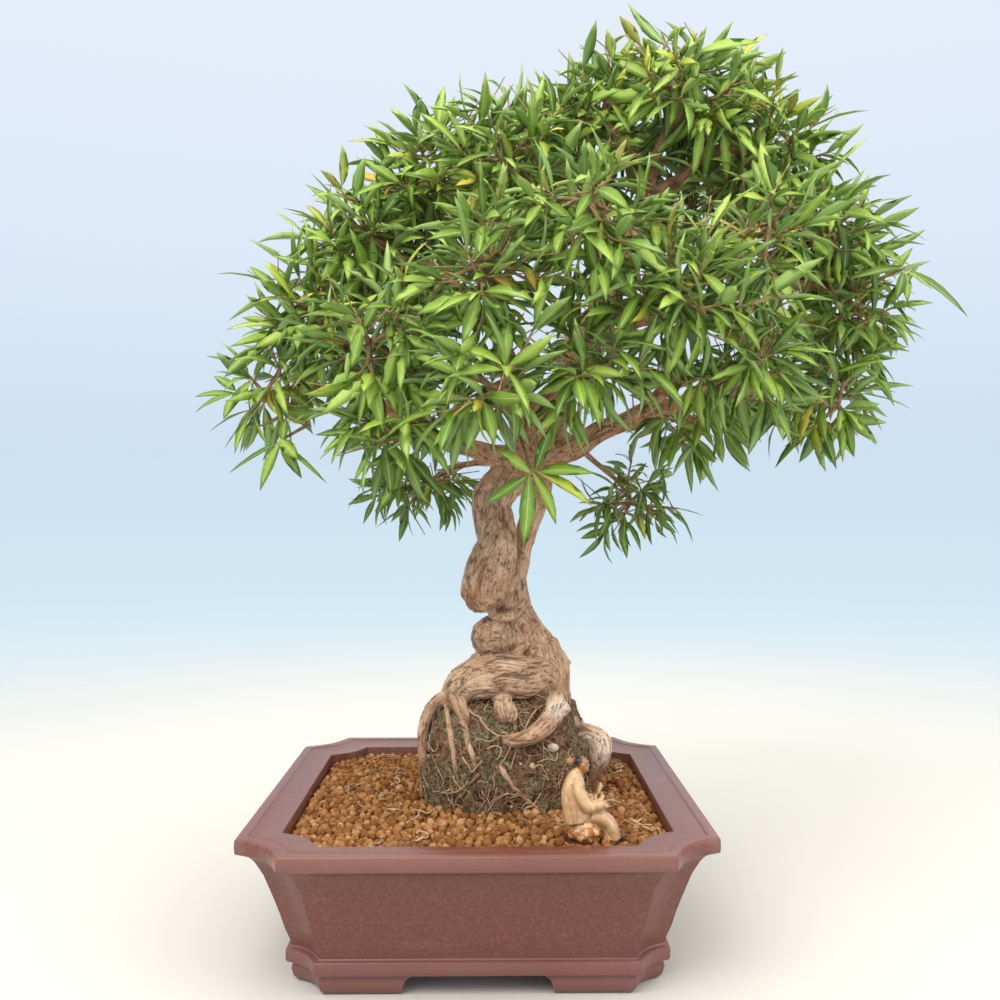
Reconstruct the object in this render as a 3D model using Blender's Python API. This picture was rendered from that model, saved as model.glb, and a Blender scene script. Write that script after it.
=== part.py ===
# Willow leaf fig bonsai in a square unglazed pot with indented corners.
# The tree grips a ball of dark root fibre, which sits in a hole in the grit that fills the pot.
# Sizes are in metres. The axes are X to the right, Y to the back and Z up.
import math
import random

import bmesh
import bpy
import numpy as np
from mathutils import Matrix, Quaternion, Vector, noise
from mathutils.bvhtree import BVHTree

# Whole object
SEED = 11
FIT_GAP = 0.00035
POT_CENTRE = Vector((-0.075, 0.0035, 0.0))

# Pot: half widths and cut corners at a few heights, from the photograph's silhouette
POT_HEIGHT = 0.110
RIM_HALF = 0.170
RIM_INNER_HALF = 0.141
FOOT_HEIGHT = 0.0155
FLOOR_TOP = 0.026
CORNER_BITE = 0.0065
CORNER_POINTS = 3
FOOT_GAP_HALF = 0.050
FOOT_WIDTH = 0.022
DRAIN_RADIUS = 0.010
DRAIN_OFFSET = 0.055
# Each row is (half width, corner cut, height)
POT_OUTSIDE = [
    (0.1330, 0.0230, FOOT_HEIGHT),
    (0.1380, 0.0241, 0.0170),
    (0.1380, 0.0241, 0.0252),
    (0.1346, 0.0236, 0.0265),
    (0.1390, 0.0255, 0.0400),
    (0.1452, 0.0285, 0.0600),
    (0.1525, 0.0320, 0.0800),
    (0.1580, 0.0340, 0.0905),
    (0.1640, 0.0352, 0.0968),
    (RIM_HALF, 0.0365, 0.0990),
    (RIM_HALF, 0.0365, POT_HEIGHT),
]
POT_INSIDE = [
    (0.1615, 0.0350, POT_HEIGHT),
    (0.1600, 0.0346, 0.1093),
    (RIM_INNER_HALF, 0.0300, 0.1070),
    (0.1400, 0.0296, 0.0900),
    (0.1330, 0.0270, 0.0600),
    (0.1200, 0.0215, FLOOR_TOP),
]

# Grit and root ball
GRIT_EDGE_HEIGHT = 0.0985
GRIT_MOUND = 0.0070
GRIT_MOUND_RADIUS = 0.085
GRIT_CELLS = 16
GRIT_BUMP = 0.0016
BALL_CENTRE = Vector((0.020, 0.000, 0.117))
BALL_RADII = Vector((0.068, 0.062, 0.080))
BALL_FULLNESS = 2.8
BALL_ROUGHNESS = 0.06
BALL_BOTTOM = 0.046
SCREEN_SIDE = 0.032
SCREEN_THICKNESS = 0.001
SCREEN_HOLES = 3

# Trunk: each piece is a bent tapered tube, as (point, radius) rows
TRUNK = {
    "base": [((0.052, 0.004, 0.120), 0.0240), ((0.050, 0.000, 0.165), 0.0255),
             ((0.0495, -0.002, 0.190), 0.0252), ((0.0505, -0.003, 0.206), 0.0242),
             ((0.045, -0.001, 0.228), 0.0195)],
    "lower": [((0.049, 0.000, 0.216), 0.0200), ((0.0335, 0.000, 0.240), 0.0185),
              ((0.0265, 0.002, 0.258), 0.0170), ((0.0255, 0.007, 0.279), 0.0145),
              ((0.031, 0.010, 0.300), 0.0105)],
    "right_stem": [((0.028, 0.010, 0.282), 0.0125), ((0.0340, 0.009, 0.294), 0.0080),
                   ((0.0362, 0.008, 0.305), 0.0070), ((0.0392, 0.007, 0.3215), 0.0094),
                   ((0.0460, 0.007, 0.3395), 0.0093), ((0.0490, 0.004, 0.3540), 0.0112),
                   ((0.046, 0.000, 0.376), 0.0135)],
    "club": [((0.0055, -0.017, 0.259), 0.0105), ((0.0038, -0.019, 0.268), 0.0178),
             ((0.0058, -0.019, 0.282), 0.0200), ((0.0098, -0.018, 0.295), 0.0195),
             ((0.0138, -0.017, 0.309), 0.0172), ((0.0160, -0.016, 0.323), 0.0144),
             ((0.0168, -0.014, 0.335), 0.0110), ((0.0165, -0.011, 0.344), 0.0098),
             ((0.0225, -0.007, 0.356), 0.0112), ((0.040, 0.000, 0.378), 0.0160)],
    "bark_strip": [((0.0012, -0.006, 0.312), 0.0030), ((0.0008, -0.007, 0.326), 0.0056),
                   ((-0.0002, -0.007, 0.339), 0.0066), ((0.0016, -0.006, 0.3505), 0.0080),
                   ((0.0070, -0.004, 0.359), 0.0088), ((0.018, 0.000, 0.368), 0.0100),
                   ((0.032, 0.001, 0.377), 0.0120)],
    "burl": [((-0.021, -0.028, 0.183), 0.0115), ((-0.0115, -0.034, 0.2000), 0.0152),
             ((0.008, -0.037, 0.2065), 0.0170), ((0.032, -0.032, 0.205), 0.0170),
             ((0.052, -0.012, 0.203), 0.0170)],
    "burl_back": [((-0.014, -0.018, 0.188), 0.0130), ((-0.003, 0.010, 0.196), 0.0160),
                  ((0.018, 0.026, 0.200), 0.0175), ((0.046, 0.014, 0.203), 0.0185)],
}
SLIM_TRUNK_PIECES = ("right_stem", "bark_strip", "burl_back")
# Each lump is (centre, radii, detail)
LUMPS = {
    "knob": ((0.0115, -0.009, 0.2335), (0.0185, 0.0175, 0.0190), 2),
    "crotch": ((0.043, 0.000, 0.383), (0.0190, 0.0180, 0.0170), 1),
    "callus": ((0.0625, -0.045, 0.1825), (0.0095, 0.0075, 0.0066), 1),
    "spur": ((0.0710, -0.004, 0.2125), (0.0052, 0.0030, 0.0025), 1),
    "saddle": ((0.020, -0.002, 0.208), (0.0320, 0.0300, 0.0170), 1),
}
THIN_ROOT = 0.0060
# Roots grip the ball from outside and end inside it or in the grit
ROOTS = {
    "left_arch": [((-0.012, -0.034, 0.197), 0.0080), ((-0.0264, -0.035, 0.1918), 0.0058),
                  ((-0.0375, -0.033, 0.1846), 0.0050), ((-0.0435, -0.031, 0.1715), 0.0048),
                  ((-0.0458, -0.030, 0.1560), 0.0043), ((-0.0445, -0.030, 0.1360), 0.0037),
                  ((-0.037, -0.028, 0.106), 0.0024)],
    "left_front": [((-0.019, -0.040, 0.197), 0.0042), ((-0.0205, -0.043, 0.1915), 0.0036),
                   ((-0.0150, -0.049, 0.1770), 0.0033), ((-0.0085, -0.058, 0.1580), 0.0029),
                   ((-0.0034, -0.0615, 0.1440), 0.0025), ((-0.001, -0.058, 0.130), 0.0018)],
    "left_inner": [((-0.0265, -0.034, 0.1890), 0.0028), ((-0.0258, -0.041, 0.1800), 0.0022),
                   ((-0.0245, -0.049, 0.1700), 0.0027), ((-0.0215, -0.054, 0.1560), 0.0026),
                   ((-0.0180, -0.056, 0.1380), 0.0021), ((-0.015, -0.052, 0.122), 0.0015)],
    "short_front": [((-0.010, -0.040, 0.199), 0.0046), ((-0.0135, -0.046, 0.1910), 0.0039),
                    ((-0.0125, -0.0485, 0.1845), 0.0033), ((-0.0100, -0.0490, 0.1780), 0.0025),
                    ((-0.008, -0.047, 0.171), 0.0016)],
    "diagonal": [((0.062, -0.018, 0.1910), 0.0090), ((0.0610, -0.044, 0.1815), 0.0087),
                 ((0.0526, -0.052, 0.1728), 0.0080), ((0.0416, -0.057, 0.1655), 0.0070),
                 ((0.0306, -0.059, 0.1615), 0.0060), ((0.019, -0.054, 0.160), 0.0042)],
    "right_knee": [((0.060, -0.010, 0.174), 0.0130), ((0.077, -0.014, 0.1585), 0.0090),
                   ((0.0875, -0.017, 0.1545), 0.0092), ((0.0952, -0.018, 0.1492), 0.0106),
                   ((0.0972, -0.018, 0.1370), 0.0090), ((0.0930, -0.015, 0.1230), 0.0064),
                   ((0.083, -0.012, 0.108), 0.0050)],
    "back_right": [((0.056, 0.014, 0.188), 0.0125), ((0.064, 0.034, 0.170), 0.0100),
                   ((0.069, 0.044, 0.148), 0.0086), ((0.068, 0.045, 0.124), 0.0076),
                   ((0.058, 0.038, 0.098), 0.0066)],
    "back_middle": [((0.022, 0.030, 0.196), 0.0130), ((0.018, 0.050, 0.176), 0.0100),
                    ((0.012, 0.060, 0.150), 0.0085), ((0.012, 0.062, 0.124), 0.0074),
                    ((0.014, 0.052, 0.098), 0.0062)],
    "back_left": [((-0.006, 0.008, 0.192), 0.0120), ((-0.026, 0.022, 0.178), 0.0086),
                  ((-0.037, 0.030, 0.158), 0.0074), ((-0.039, 0.034, 0.130), 0.0064),
                  ((-0.031, 0.030, 0.100), 0.0054)],
    "low_front": [((0.036, -0.012, 0.146), 0.0036), ((0.016, -0.050, 0.140), 0.0028),
                  ((0.0185, -0.062, 0.135), 0.0027), ((0.025, -0.064, 0.126), 0.0024),
                  ((0.0323, -0.0645, 0.1195), 0.0022), ((0.048, -0.059, 0.105), 0.0018)],
    "cut_root": [((0.014, -0.030, 0.197), 0.0070), ((0.0190, -0.044, 0.190), 0.0076),
                 ((0.0200, -0.050, 0.1815), 0.0078), ((0.0215, -0.050, 0.175), 0.0060)],
}

# Crown: forks of the limbs, as (point, radius)
FORKS = {
    "crotch": ((0.043, 0.000, 0.380), 0.0130),
    "up_1": ((0.067, 0.000, 0.435), 0.0115),
    "up_2": ((0.088, 0.000, 0.481), 0.0100),
    "up_3": ((0.117, 0.004, 0.539), 0.0080),
    "up_4": ((0.142, 0.008, 0.606), 0.0062),
    "right_1": ((0.092, -0.008, 0.397), 0.0092),
    "right_2": ((0.134, -0.004, 0.421), 0.0072),
    "high_right_1": ((0.169, 0.010, 0.508), 0.0066),
    "high_right_2": ((0.242, 0.004, 0.531), 0.0054),
    "middle_1": ((0.033, -0.008, 0.425), 0.0090),
    "middle_2": ((0.021, -0.006, 0.479), 0.0078),
    "middle_3": ((0.009, 0.000, 0.548), 0.0062),
    "left_1": ((0.000, -0.006, 0.389), 0.0082),
    "left_2": ((-0.041, -0.010, 0.405), 0.0068),
    "left_3": ((-0.090, -0.012, 0.430), 0.0056),
    "front_1": ((0.030, -0.056, 0.401), 0.0066),
    "back_1": ((0.071, 0.060, 0.410), 0.0070),
    "back_left_1": ((0.017, 0.044, 0.378), 0.0050),
}
LIMBS = [
    ("crotch", "up_1", "up_2", "up_3", "up_4"),
    ("crotch", "right_1", "right_2"),
    ("up_2", "high_right_1", "high_right_2"),
    ("crotch", "middle_1", "middle_2", "middle_3"),
    ("crotch", "left_1", "left_2", "left_3"),
    ("crotch", "front_1"),
    ("crotch", "back_1"),
    ("crotch", "back_left_1"),
]
# Each spray of leaves fills one rounded lobe of the crown: (fork that carries it, centre, radii)
LOBES = {
    "top_right": ("up_4", (0.176, 0.000, 0.694), (0.063, 0.070, 0.050)),
    "top": ("up_4", (0.104, 0.030, 0.676), (0.061, 0.070, 0.052)),
    "upper_right": ("up_4", (0.248, 0.020, 0.647), (0.056, 0.065, 0.047)),
    "upper_left": ("middle_3", (0.025, -0.020, 0.624), (0.053, 0.065, 0.045)),
    "upper_left_outer": ("middle_3", (-0.047, 0.020, 0.626), (0.056, 0.065, 0.047)),
    "left_upper": ("middle_2", (-0.102, 0.000, 0.566), (0.050, 0.060, 0.046)),
    "left": ("left_3", (-0.138, -0.020, 0.500), (0.045, 0.060, 0.041)),
    "left_low": ("left_3", (-0.177, -0.010, 0.434), (0.045, 0.055, 0.037)),
    "left_front": ("left_2", (-0.078, -0.110, 0.460), (0.047, 0.055, 0.043)),
    "front_left_low": ("left_2", (-0.059, -0.090, 0.394), (0.045, 0.055, 0.033)),
    "centre_front": ("middle_2", (0.001, -0.130, 0.512), (0.049, 0.055, 0.046)),
    "centre_front_low": ("front_1", (0.015, -0.150, 0.422), (0.041, 0.050, 0.034)),
    "front_mid": ("up_3", (0.078, -0.135, 0.556), (0.049, 0.055, 0.042)),
    "front_right": ("up_2", (0.142, -0.130, 0.487), (0.053, 0.060, 0.042)),
    "centre": ("front_1", (0.082, -0.100, 0.438), (0.042, 0.045, 0.034)),
    "right_front": ("high_right_1", (0.214, -0.100, 0.548), (0.048, 0.060, 0.044)),
    "right_front_low": ("right_2", (0.209, -0.090, 0.443), (0.052, 0.060, 0.041)),
    "right_upper": ("high_right_2", (0.294, 0.000, 0.574), (0.046, 0.060, 0.042)),
    "right": ("high_right_2", (0.323, 0.010, 0.506), (0.042, 0.060, 0.042)),
    "right_low": ("right_2", (0.300, 0.000, 0.426), (0.042, 0.055, 0.042)),
    "right_bottom": ("right_2", (0.185, 0.040, 0.417), (0.053, 0.055, 0.039)),
    "back_top": ("middle_3", (0.060, 0.125, 0.640), (0.060, 0.060, 0.052)),
    "back_right": ("up_3", (0.205, 0.125, 0.610), (0.065, 0.060, 0.058)),
    "back_left": ("middle_2", (-0.058, 0.115, 0.540), (0.062, 0.060, 0.056)),
    "back_low": ("back_1", (0.105, 0.150, 0.490), (0.065, 0.055, 0.052)),
    "back_right_low": ("high_right_1", (0.262, 0.115, 0.480), (0.057, 0.060, 0.050)),
    "hang_left": ("back_left_1", (-0.058, 0.110, 0.362), (0.052, 0.045, 0.030)),
    "hang_right": ("back_1", (0.141, 0.110, 0.345), (0.043, 0.045, 0.040)),
}
LIMB_END_RADIUS = 0.0034
LIMB_RISE = 0.10
LOBE_ENTRY = 0.40
STEM_RADIUS = 0.0028
HUB_RADIUS = 0.0050

# Twigs leave a spray's hub by faces turned to open air, and end in two whorls and a top leaf
TWIGS_PER_SPRAY = 5
TWIGS_BEHIND = 4
BEHIND = 0.100
TWIG_SPREAD = math.radians(48)
TWIG_REACH = 0.60
TWIG_RADIUS = 0.0014
WHORL_STEP = 0.0065
LEAF_LENGTH = (0.040, 0.054)
LEAF_WIDTH = (0.0090, 0.0115)
LEAF_RIDGE = 0.0011
LEAF_WIDEST = 0.42
LEAF_TRIES = 12
# Lean from the twig's way, in degrees, of its top leaf, upper whorl and lower whorl
LEAF_LEANS = ((0, 16), (24, 50), (46, 80))
CLEARANCE = 0.0008
LOW_LOBE = 0.47

# The seated scholar, a small glazed figure: its foot on the grit, facing right
FIGURE_SPOT = Vector((0.076, -0.116, 0.1030))
FIGURE_PAD_RADIUS = 0.019

# Faces that meet at more than this angle keep a sharp edge in the shading
SHARP_EDGE = math.radians(35)


def clear_scene():
    for obj in list(bpy.data.objects):
        bpy.data.objects.remove(obj)


def new_collection(name):
    made = bpy.data.collections.new(name)
    bpy.context.scene.collection.children.link(made)
    return made


def material(name, colour, roughness):
    made = bpy.data.materials.new(name)
    made.use_nodes = True
    shader = made.node_tree.nodes["Principled BSDF"]
    shader.inputs["Base Color"].default_value = (*colour, 1.0)
    shader.inputs["Roughness"].default_value = roughness
    shader.inputs["Metallic"].default_value = 0.0
    return made


def mesh_object(name, shape):
    """A new object that holds a bmesh, which is freed."""
    mesh = bpy.data.meshes.new(name)
    bmesh.ops.recalc_face_normals(shape, faces=shape.faces)
    shape.to_mesh(mesh)
    shape.free()
    obj = bpy.data.objects.new(name, mesh)
    bpy.context.scene.collection.objects.link(obj)
    return obj


def tube(name, rows, resolution=1, grow=0.0):
    """A curve through (point, radius) rows, made a mesh with its caps welded on.

    Where it grows, it gets fatter and also longer at both ends.
    """
    places = [Vector(place) for place, _ in rows]
    places[0] = places[0] + (places[0] - places[1]).normalized() * grow
    places[-1] = places[-1] + (places[-1] - places[-2]).normalized() * grow
    curve = bpy.data.curves.new(name, "CURVE")
    curve.dimensions = "3D"
    curve.bevel_depth = 1.0
    curve.bevel_resolution = resolution
    curve.use_fill_caps = True
    spline = curve.splines.new("POLY")
    spline.points.add(len(rows) - 1)
    for point, place, (_, radius) in zip(spline.points, places, rows):
        point.co = (*place, 1.0)
        point.radius = radius + grow
    guide = bpy.data.objects.new(name, curve)
    bpy.context.scene.collection.objects.link(guide)
    graph = bpy.context.evaluated_depsgraph_get()
    mesh = bpy.data.meshes.new_from_object(guide.evaluated_get(graph))
    bpy.data.objects.remove(guide)
    shape = bmesh.new()
    shape.from_mesh(mesh)
    bmesh.ops.remove_doubles(shape, verts=shape.verts, dist=1e-6)
    # Every tube's sides are split the same way, so that a grown copy holds the whole of it
    bmesh.ops.triangulate(shape, faces=shape.faces, quad_method="FIXED")
    return mesh_object(name, shape)


def lump(name, centre, radii, detail=2, roughness=0.0, grow=0.0, fullness=2.0):
    """A rough ball: an icosphere whose points are pushed in and out by noise.

    It is round at a fullness of 2, and its shoulders fill out above that.
    """
    shape = bmesh.new()
    bmesh.ops.create_icosphere(shape, subdivisions=detail, radius=1.0)
    for vert in shape.verts:
        push = 1.0 + roughness * noise.noise(vert.co * 2.3 + Vector(centre) * 40)
        push *= sum(abs(share) ** fullness for share in vert.co) ** (-1 / fullness)
        vert.co = Vector(centre) + Vector(
            (vert.co[i] * (radii[i] * push + grow) for i in range(3))
        )
    return mesh_object(name, shape)


def join_all(name, pieces, solver="MANIFOLD"):
    """One body from overlapping pieces."""
    base = pieces[0]
    base.name = name
    if len(pieces) > 1:
        union(base, pieces[1:], solver)
    return base


def union(base, pieces, solver="MANIFOLD"):
    boolean(base, pieces, "UNION", solver)


def cut(base, pieces, solver="EXACT"):
    boolean(base, pieces, "DIFFERENCE", solver)


def boolean(base, pieces, operation, solver):
    """Applies one Boolean with a collection of pieces, which are then removed."""
    helpers = bpy.data.collections.new("helpers")
    bpy.context.scene.collection.children.link(helpers)
    for piece in pieces:
        helpers.objects.link(piece)
    modifier = base.modifiers.new("Boolean", "BOOLEAN")
    modifier.operation = operation
    modifier.operand_type = "COLLECTION"
    modifier.collection = helpers
    modifier.solver = solver
    apply_modifiers(base)
    for piece in list(helpers.objects):
        bpy.data.objects.remove(piece)
    bpy.data.collections.remove(helpers)


def apply_modifiers(obj):
    graph = bpy.context.evaluated_depsgraph_get()
    mesh = bpy.data.meshes.new_from_object(obj.evaluated_get(graph))
    obj.modifiers.clear()
    obj.data = mesh


# Pot


def square_ring(half, corner, height, bite=CORNER_BITE):
    """Points of a square outline whose cut corners curve inwards, counter-clockwise."""
    points = []
    for turn in range(4):
        spin = Matrix.Rotation(turn * math.pi / 2, 3, "Z")
        start = Vector((half, half - corner, height))
        end = Vector((half - corner, half, height))
        inward = Vector((-1, -1, 0)).normalized()
        for k in range(CORNER_POINTS + 2):
            t = k / (CORNER_POINTS + 1)
            bend = bite * (corner / 0.0365) * math.sin(math.pi * t)
            points.append(spin @ (start.lerp(end, t) + inward * bend))
    return points


def loft(name, rings):
    """Closed solid through rings of equal length, with flat ends."""
    shape = bmesh.new()
    loops = [[shape.verts.new(p) for p in ring] for ring in rings]
    for low, high in zip(loops, loops[1:]):
        for i in range(len(low)):
            j = (i + 1) % len(low)
            shape.faces.new((low[i], low[j], high[j], high[i]))
    shape.faces.new(loops[0])
    shape.faces.new(loops[-1])
    return mesh_object(name, shape)


def pot_cavity(shrink, top):
    """The space inside the pot, in from its walls by shrink and filled up to top."""
    rows = [row for row in reversed(POT_INSIDE) if row[2] < POT_INSIDE[1][2]]
    rings = [square_ring(h - shrink, c, z + (shrink if z == FLOOR_TOP else 0)) for h, c, z in rows]
    last_half, last_corner, _ = rows[-1]
    rings.append(square_ring(last_half - shrink, last_corner, top))
    return loft("cavity", rings)


def box(name, low, high):
    shape = bmesh.new()
    bmesh.ops.create_cube(shape, size=1.0)
    centre = (Vector(low) + Vector(high)) / 2
    size = Vector(high) - Vector(low)
    bmesh.ops.scale(shape, vec=size, verts=shape.verts)
    bmesh.ops.translate(shape, vec=centre, verts=shape.verts)
    return mesh_object(name, shape)


def cylinder(name, centre, radius, bottom, top, segments=16):
    shape = bmesh.new()
    bmesh.ops.create_cone(
        shape, cap_ends=True, segments=segments, radius1=radius, radius2=radius,
        depth=top - bottom,
    )
    bmesh.ops.translate(shape, vec=(centre[0], centre[1], (bottom + top) / 2), verts=shape.verts)
    return mesh_object(name, shape)


def foot_frame():
    """A square ring under the pot, cut through by two crossing ways to leave a foot at each corner."""
    overlap = 0.003
    outside = [(0.1290, 0.0220, 0.0), (0.1330, 0.0230, 0.0040), (0.1345, 0.0234, 0.0100),
               (0.1325, 0.0230, FOOT_HEIGHT + overlap)]
    inner_half = outside[0][0] - FOOT_WIDTH
    rings = [square_ring(*row) for row in outside]
    rings += [square_ring(inner_half, 0.012, FOOT_HEIGHT + overlap, 0.0),
              square_ring(inner_half, 0.012, 0.0, 0.0)]
    shape = bmesh.new()
    loops = [[shape.verts.new(p) for p in ring] for ring in rings]
    for low, high in zip(loops, loops[1:] + loops[:1]):
        for i in range(len(low)):
            j = (i + 1) % len(low)
            shape.faces.new((low[i], low[j], high[j], high[i]))
    frame = mesh_object("foot_frame", shape)
    reach, slant, under = 0.2, 0.004, 0.001
    ways = []
    for along_x in (True, False):
        rings = []
        for height, half in ((-under, FOOT_GAP_HALF + slant), (FOOT_HEIGHT + 2 * overlap, FOOT_GAP_HALF)):
            corners = [(-reach, -half), (reach, -half), (reach, half), (-reach, half)]
            rings.append([Vector((x, y, height) if along_x else (y, x, height)) for x, y in corners])
        ways.append(loft("way", rings))
    cut(frame, ways)
    return frame


def make_pot():
    rings = [square_ring(*row) for row in POT_OUTSIDE + POT_INSIDE]
    pot = loft("pot", rings)
    feet = foot_frame()
    union(pot, [feet], "EXACT")
    drains = [cylinder("drain", (side * DRAIN_OFFSET, 0.0), DRAIN_RADIUS, 0.0, POT_HEIGHT)
              for side in (-1, 1)]
    cut(pot, drains)
    return pot


def make_screen(name, x):
    """A square plastic mesh over a drain hole, under the grit."""
    low = FLOOR_TOP + FIT_GAP
    half = SCREEN_SIDE / 2
    screen = box(name, (x - half, -half, low), (x + half, half, low + SCREEN_THICKNESS))
    pitch = SCREEN_SIDE / SCREEN_HOLES
    side = pitch * 0.62 / 2
    holes = []
    for i in range(SCREEN_HOLES):
        for j in range(SCREEN_HOLES):
            cx = x - half + (i + 0.5) * pitch
            cy = -half + (j + 0.5) * pitch
            holes.append(box("hole", (cx - side, cy - side, 0.0), (cx + side, cy + side, 0.05)))
    cut(screen, holes)
    return screen


# Tree


def wood_pieces(grow=0.0):
    """Trunk, lumps and roots, each a little fatter by grow."""
    pieces = [tube(name, rows, 1 if name in SLIM_TRUNK_PIECES else 2, grow)
              for name, rows in TRUNK.items()]
    for name, rows in ROOTS.items():
        thick = max(radius for _, radius in rows) > THIN_ROOT
        pieces.append(tube(name, rows, 1 if thick else 0, grow))
    for name, (centre, radii, detail) in LUMPS.items():
        pieces.append(lump(name, centre, radii, detail, 0.10, grow))
    return pieces


def lobe_limb(fork, centre, radii):
    """The limb from a fork to a lobe, which ends short of the lobe's centre and points at it."""
    source, radius = FORKS[fork]
    source = Vector(source)
    hub = Vector(centre)
    middle = source.lerp(hub, 0.5) + Vector((0, 0, LIMB_RISE * (hub - source).length))
    end = hub + (middle - hub).normalized() * (LOBE_ENTRY * min(radii))
    return [(source, min(radius, 0.0060)), (middle, 0.0052), (end, LIMB_END_RADIUS)]


def make_tree(limbs):
    main_limbs = [tube("limb", [FORKS[fork] for fork in forks], 1) for forks in LIMBS]
    side_limbs = [tube("limb", rows, 0) for rows in limbs.values()]
    return join_all("tree_wood", wood_pieces() + main_limbs + side_limbs)


# Leaves


class Crowd:
    """Solids that are already placed, so that a new one can be tested against them."""

    def __init__(self):
        self.lows = np.zeros((0, 3))
        self.highs = np.zeros((0, 3))
        self.trees = []
        self.owners = []

    def add(self, solid, owner):
        points, faces = solid
        self.lows = np.vstack([self.lows, np.min(points, axis=0)])
        self.highs = np.vstack([self.highs, np.max(points, axis=0)])
        self.trees.append(BVHTree.FromPolygons(points, faces))
        self.owners.append(owner)

    def is_clear(self, solid, friends=()):
        """True where a solid, as (points, faces), crosses none but its friends."""
        points, faces = solid
        near = (self.lows <= np.max(points, axis=0)) & (self.highs >= np.min(points, axis=0))
        tree = BVHTree.FromPolygons(points, faces)
        for i in np.flatnonzero(near.all(axis=1)):
            if self.owners[i] not in friends and tree.overlap(self.trees[i]):
                return False
        return True


def solid_of(obj):
    """An object's points and faces. The object is removed."""
    points = [vert.co.copy() for vert in obj.data.vertices]
    faces = [list(face.vertices) for face in obj.data.polygons]
    bpy.data.objects.remove(obj)
    return points, faces


def ring_solid(rings):
    """Points and faces of a closed solid through rings of equal length."""
    count = len(rings[0])
    points = [place for ring in rings for place in ring]
    faces = [list(range(count)), list(range(len(points) - count, len(points)))]
    for start in range(0, len(points) - count, count):
        for i in range(count):
            j = (i + 1) % count
            faces.append([start + i, start + j, start + count + j, start + count + i])
    return points, faces


def face_round(face, way, centre, radius, twist=0.0):
    """Three corners round a centre, square to way, in step with a triangular face's own."""
    first = face.verts[0].co - face.calc_center_median()
    first = (first - way * first.dot(way)).normalized() * radius
    return [centre + Quaternion(way, twist + k * math.tau / 3) @ first for k in range(3)]


def extend(shape, face, corners):
    """Extrudes a face to new corners and returns its new end."""
    end = bmesh.ops.extrude_discrete_faces(shape, faces=[face])["faces"][0]
    for vert, place in zip(end.verts, corners):
        vert.co = place
    return end


def grow_whorl(shape, face, way):
    """Extrudes a twig's end with a sixth of a turn. Returns the end and three leaf sites."""
    low = list(face.verts)
    centre = face.calc_center_median() + way * WHORL_STEP
    end = extend(shape, face, face_round(face, way, centre, TWIG_RADIUS, math.tau / 6))
    high = list(end.verts)
    sites = []
    for i in range(3):
        j = (i + 1) % 3
        corners = {low[i], low[j], high[i], high[j]}
        side = next(f for f in low[i].link_faces if set(f.verts) == corners)
        other, _ = bmesh.utils.face_split(side, low[j], high[i])
        sites.append((side if low[i] in side.verts else other, high[i]))
    return end, sites


def leaf_pose(face, apex, along, lean_range, droop, rand):
    """Root, widest place, tip, side and ridge directions and half width of a leaf on a face.

    The leaf leans out from the twig's way, along, or follows it where the face is the
    twig's end. Its flat back turns partly to the ground, to which it also arches.
    """
    corners = list(face.verts)
    index = corners.index(apex)
    left, right = corners[(index + 1) % 3].co, corners[(index + 2) % 3].co
    root = (left + right + apex.co) / 3
    side = (right - left).normalized()
    face.normal_update()
    outward = face.normal.copy()
    if outward.dot(along) > 0.7:
        outward = (apex.co - root).normalized()
    lean = math.radians(rand.uniform(*lean_range))
    outward = Quaternion(along, math.radians(rand.uniform(-34, 34))) @ outward
    way = along * math.cos(lean) + outward * math.sin(lean)
    way = (way - Vector((0, 0, droop * rand.uniform(0, 1)))).normalized()
    level = way.cross(Vector((0, 0, 1)))
    side += 0.8 * level * (1 if level.dot(side) > 0 else -1)
    side = (side - way * side.dot(way)).normalized()
    ridge = way.cross(side)
    length = rand.uniform(*LEAF_LENGTH)
    arch = math.radians(rand.uniform(8, 30)) * (1 if ridge.z > 0 else -1)
    widest = root + way * (length * LEAF_WIDEST)
    tip = widest + (Quaternion(side, arch) @ way) * (length * (1 - LEAF_WIDEST))
    return root, widest, tip, side, ridge, rand.uniform(*LEAF_WIDTH) / 2


def leaf_guard(pose, first):
    """A closed sleeve round a leaf, a little larger, from a first share of its way to its tip."""
    root, widest, tip, side, ridge, half = pose
    rings = []
    for start, end, share, wide in ((root, widest, first, first), (root, widest, 1.0, 1.0),
                                    (widest, tip, 0.5, 0.5), (widest, tip, 1.0, 0.0)):
        centre = start.lerp(end, share)
        across = side * (half * wide + CLEARANCE)
        up = ridge * (LEAF_RIDGE * wide + CLEARANCE)
        down = ridge * CLEARANCE
        rings.append([centre - across, centre - down, centre + across, centre + up])
    return ring_solid(rings)


def grow_leaf(shape, face, apex, pose):
    """A lance-shaped blade from a face to a point, with a raised midrib and a flat back."""
    root, widest, tip, side, ridge, half = pose
    corners = list(face.verts)
    index = corners.index(apex)
    places = [None, None, None]
    places[index] = widest + ridge * LEAF_RIDGE
    places[(index + 1) % 3] = widest - side * half
    places[(index + 2) % 3] = widest + side * half
    blade = extend(shape, face, places)
    end = extend(shape, blade, [tip] * 3)
    bmesh.ops.pointmerge(shape, verts=list(end.verts), merge_co=tip)


def open_air(name, way):
    """How far a place in a lobe lies outside its nearest neighbour, as a share of that one's size."""
    _, centre, radii = LOBES[name]
    place = [centre[i] + way[i] * radii[i] for i in range(3)]
    shares = [math.sqrt(sum(((place[i] - c[i]) / r[i]) ** 2 for i in range(3)))
              for other, (_, c, r) in LOBES.items() if other != name]
    return min(shares)


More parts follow.
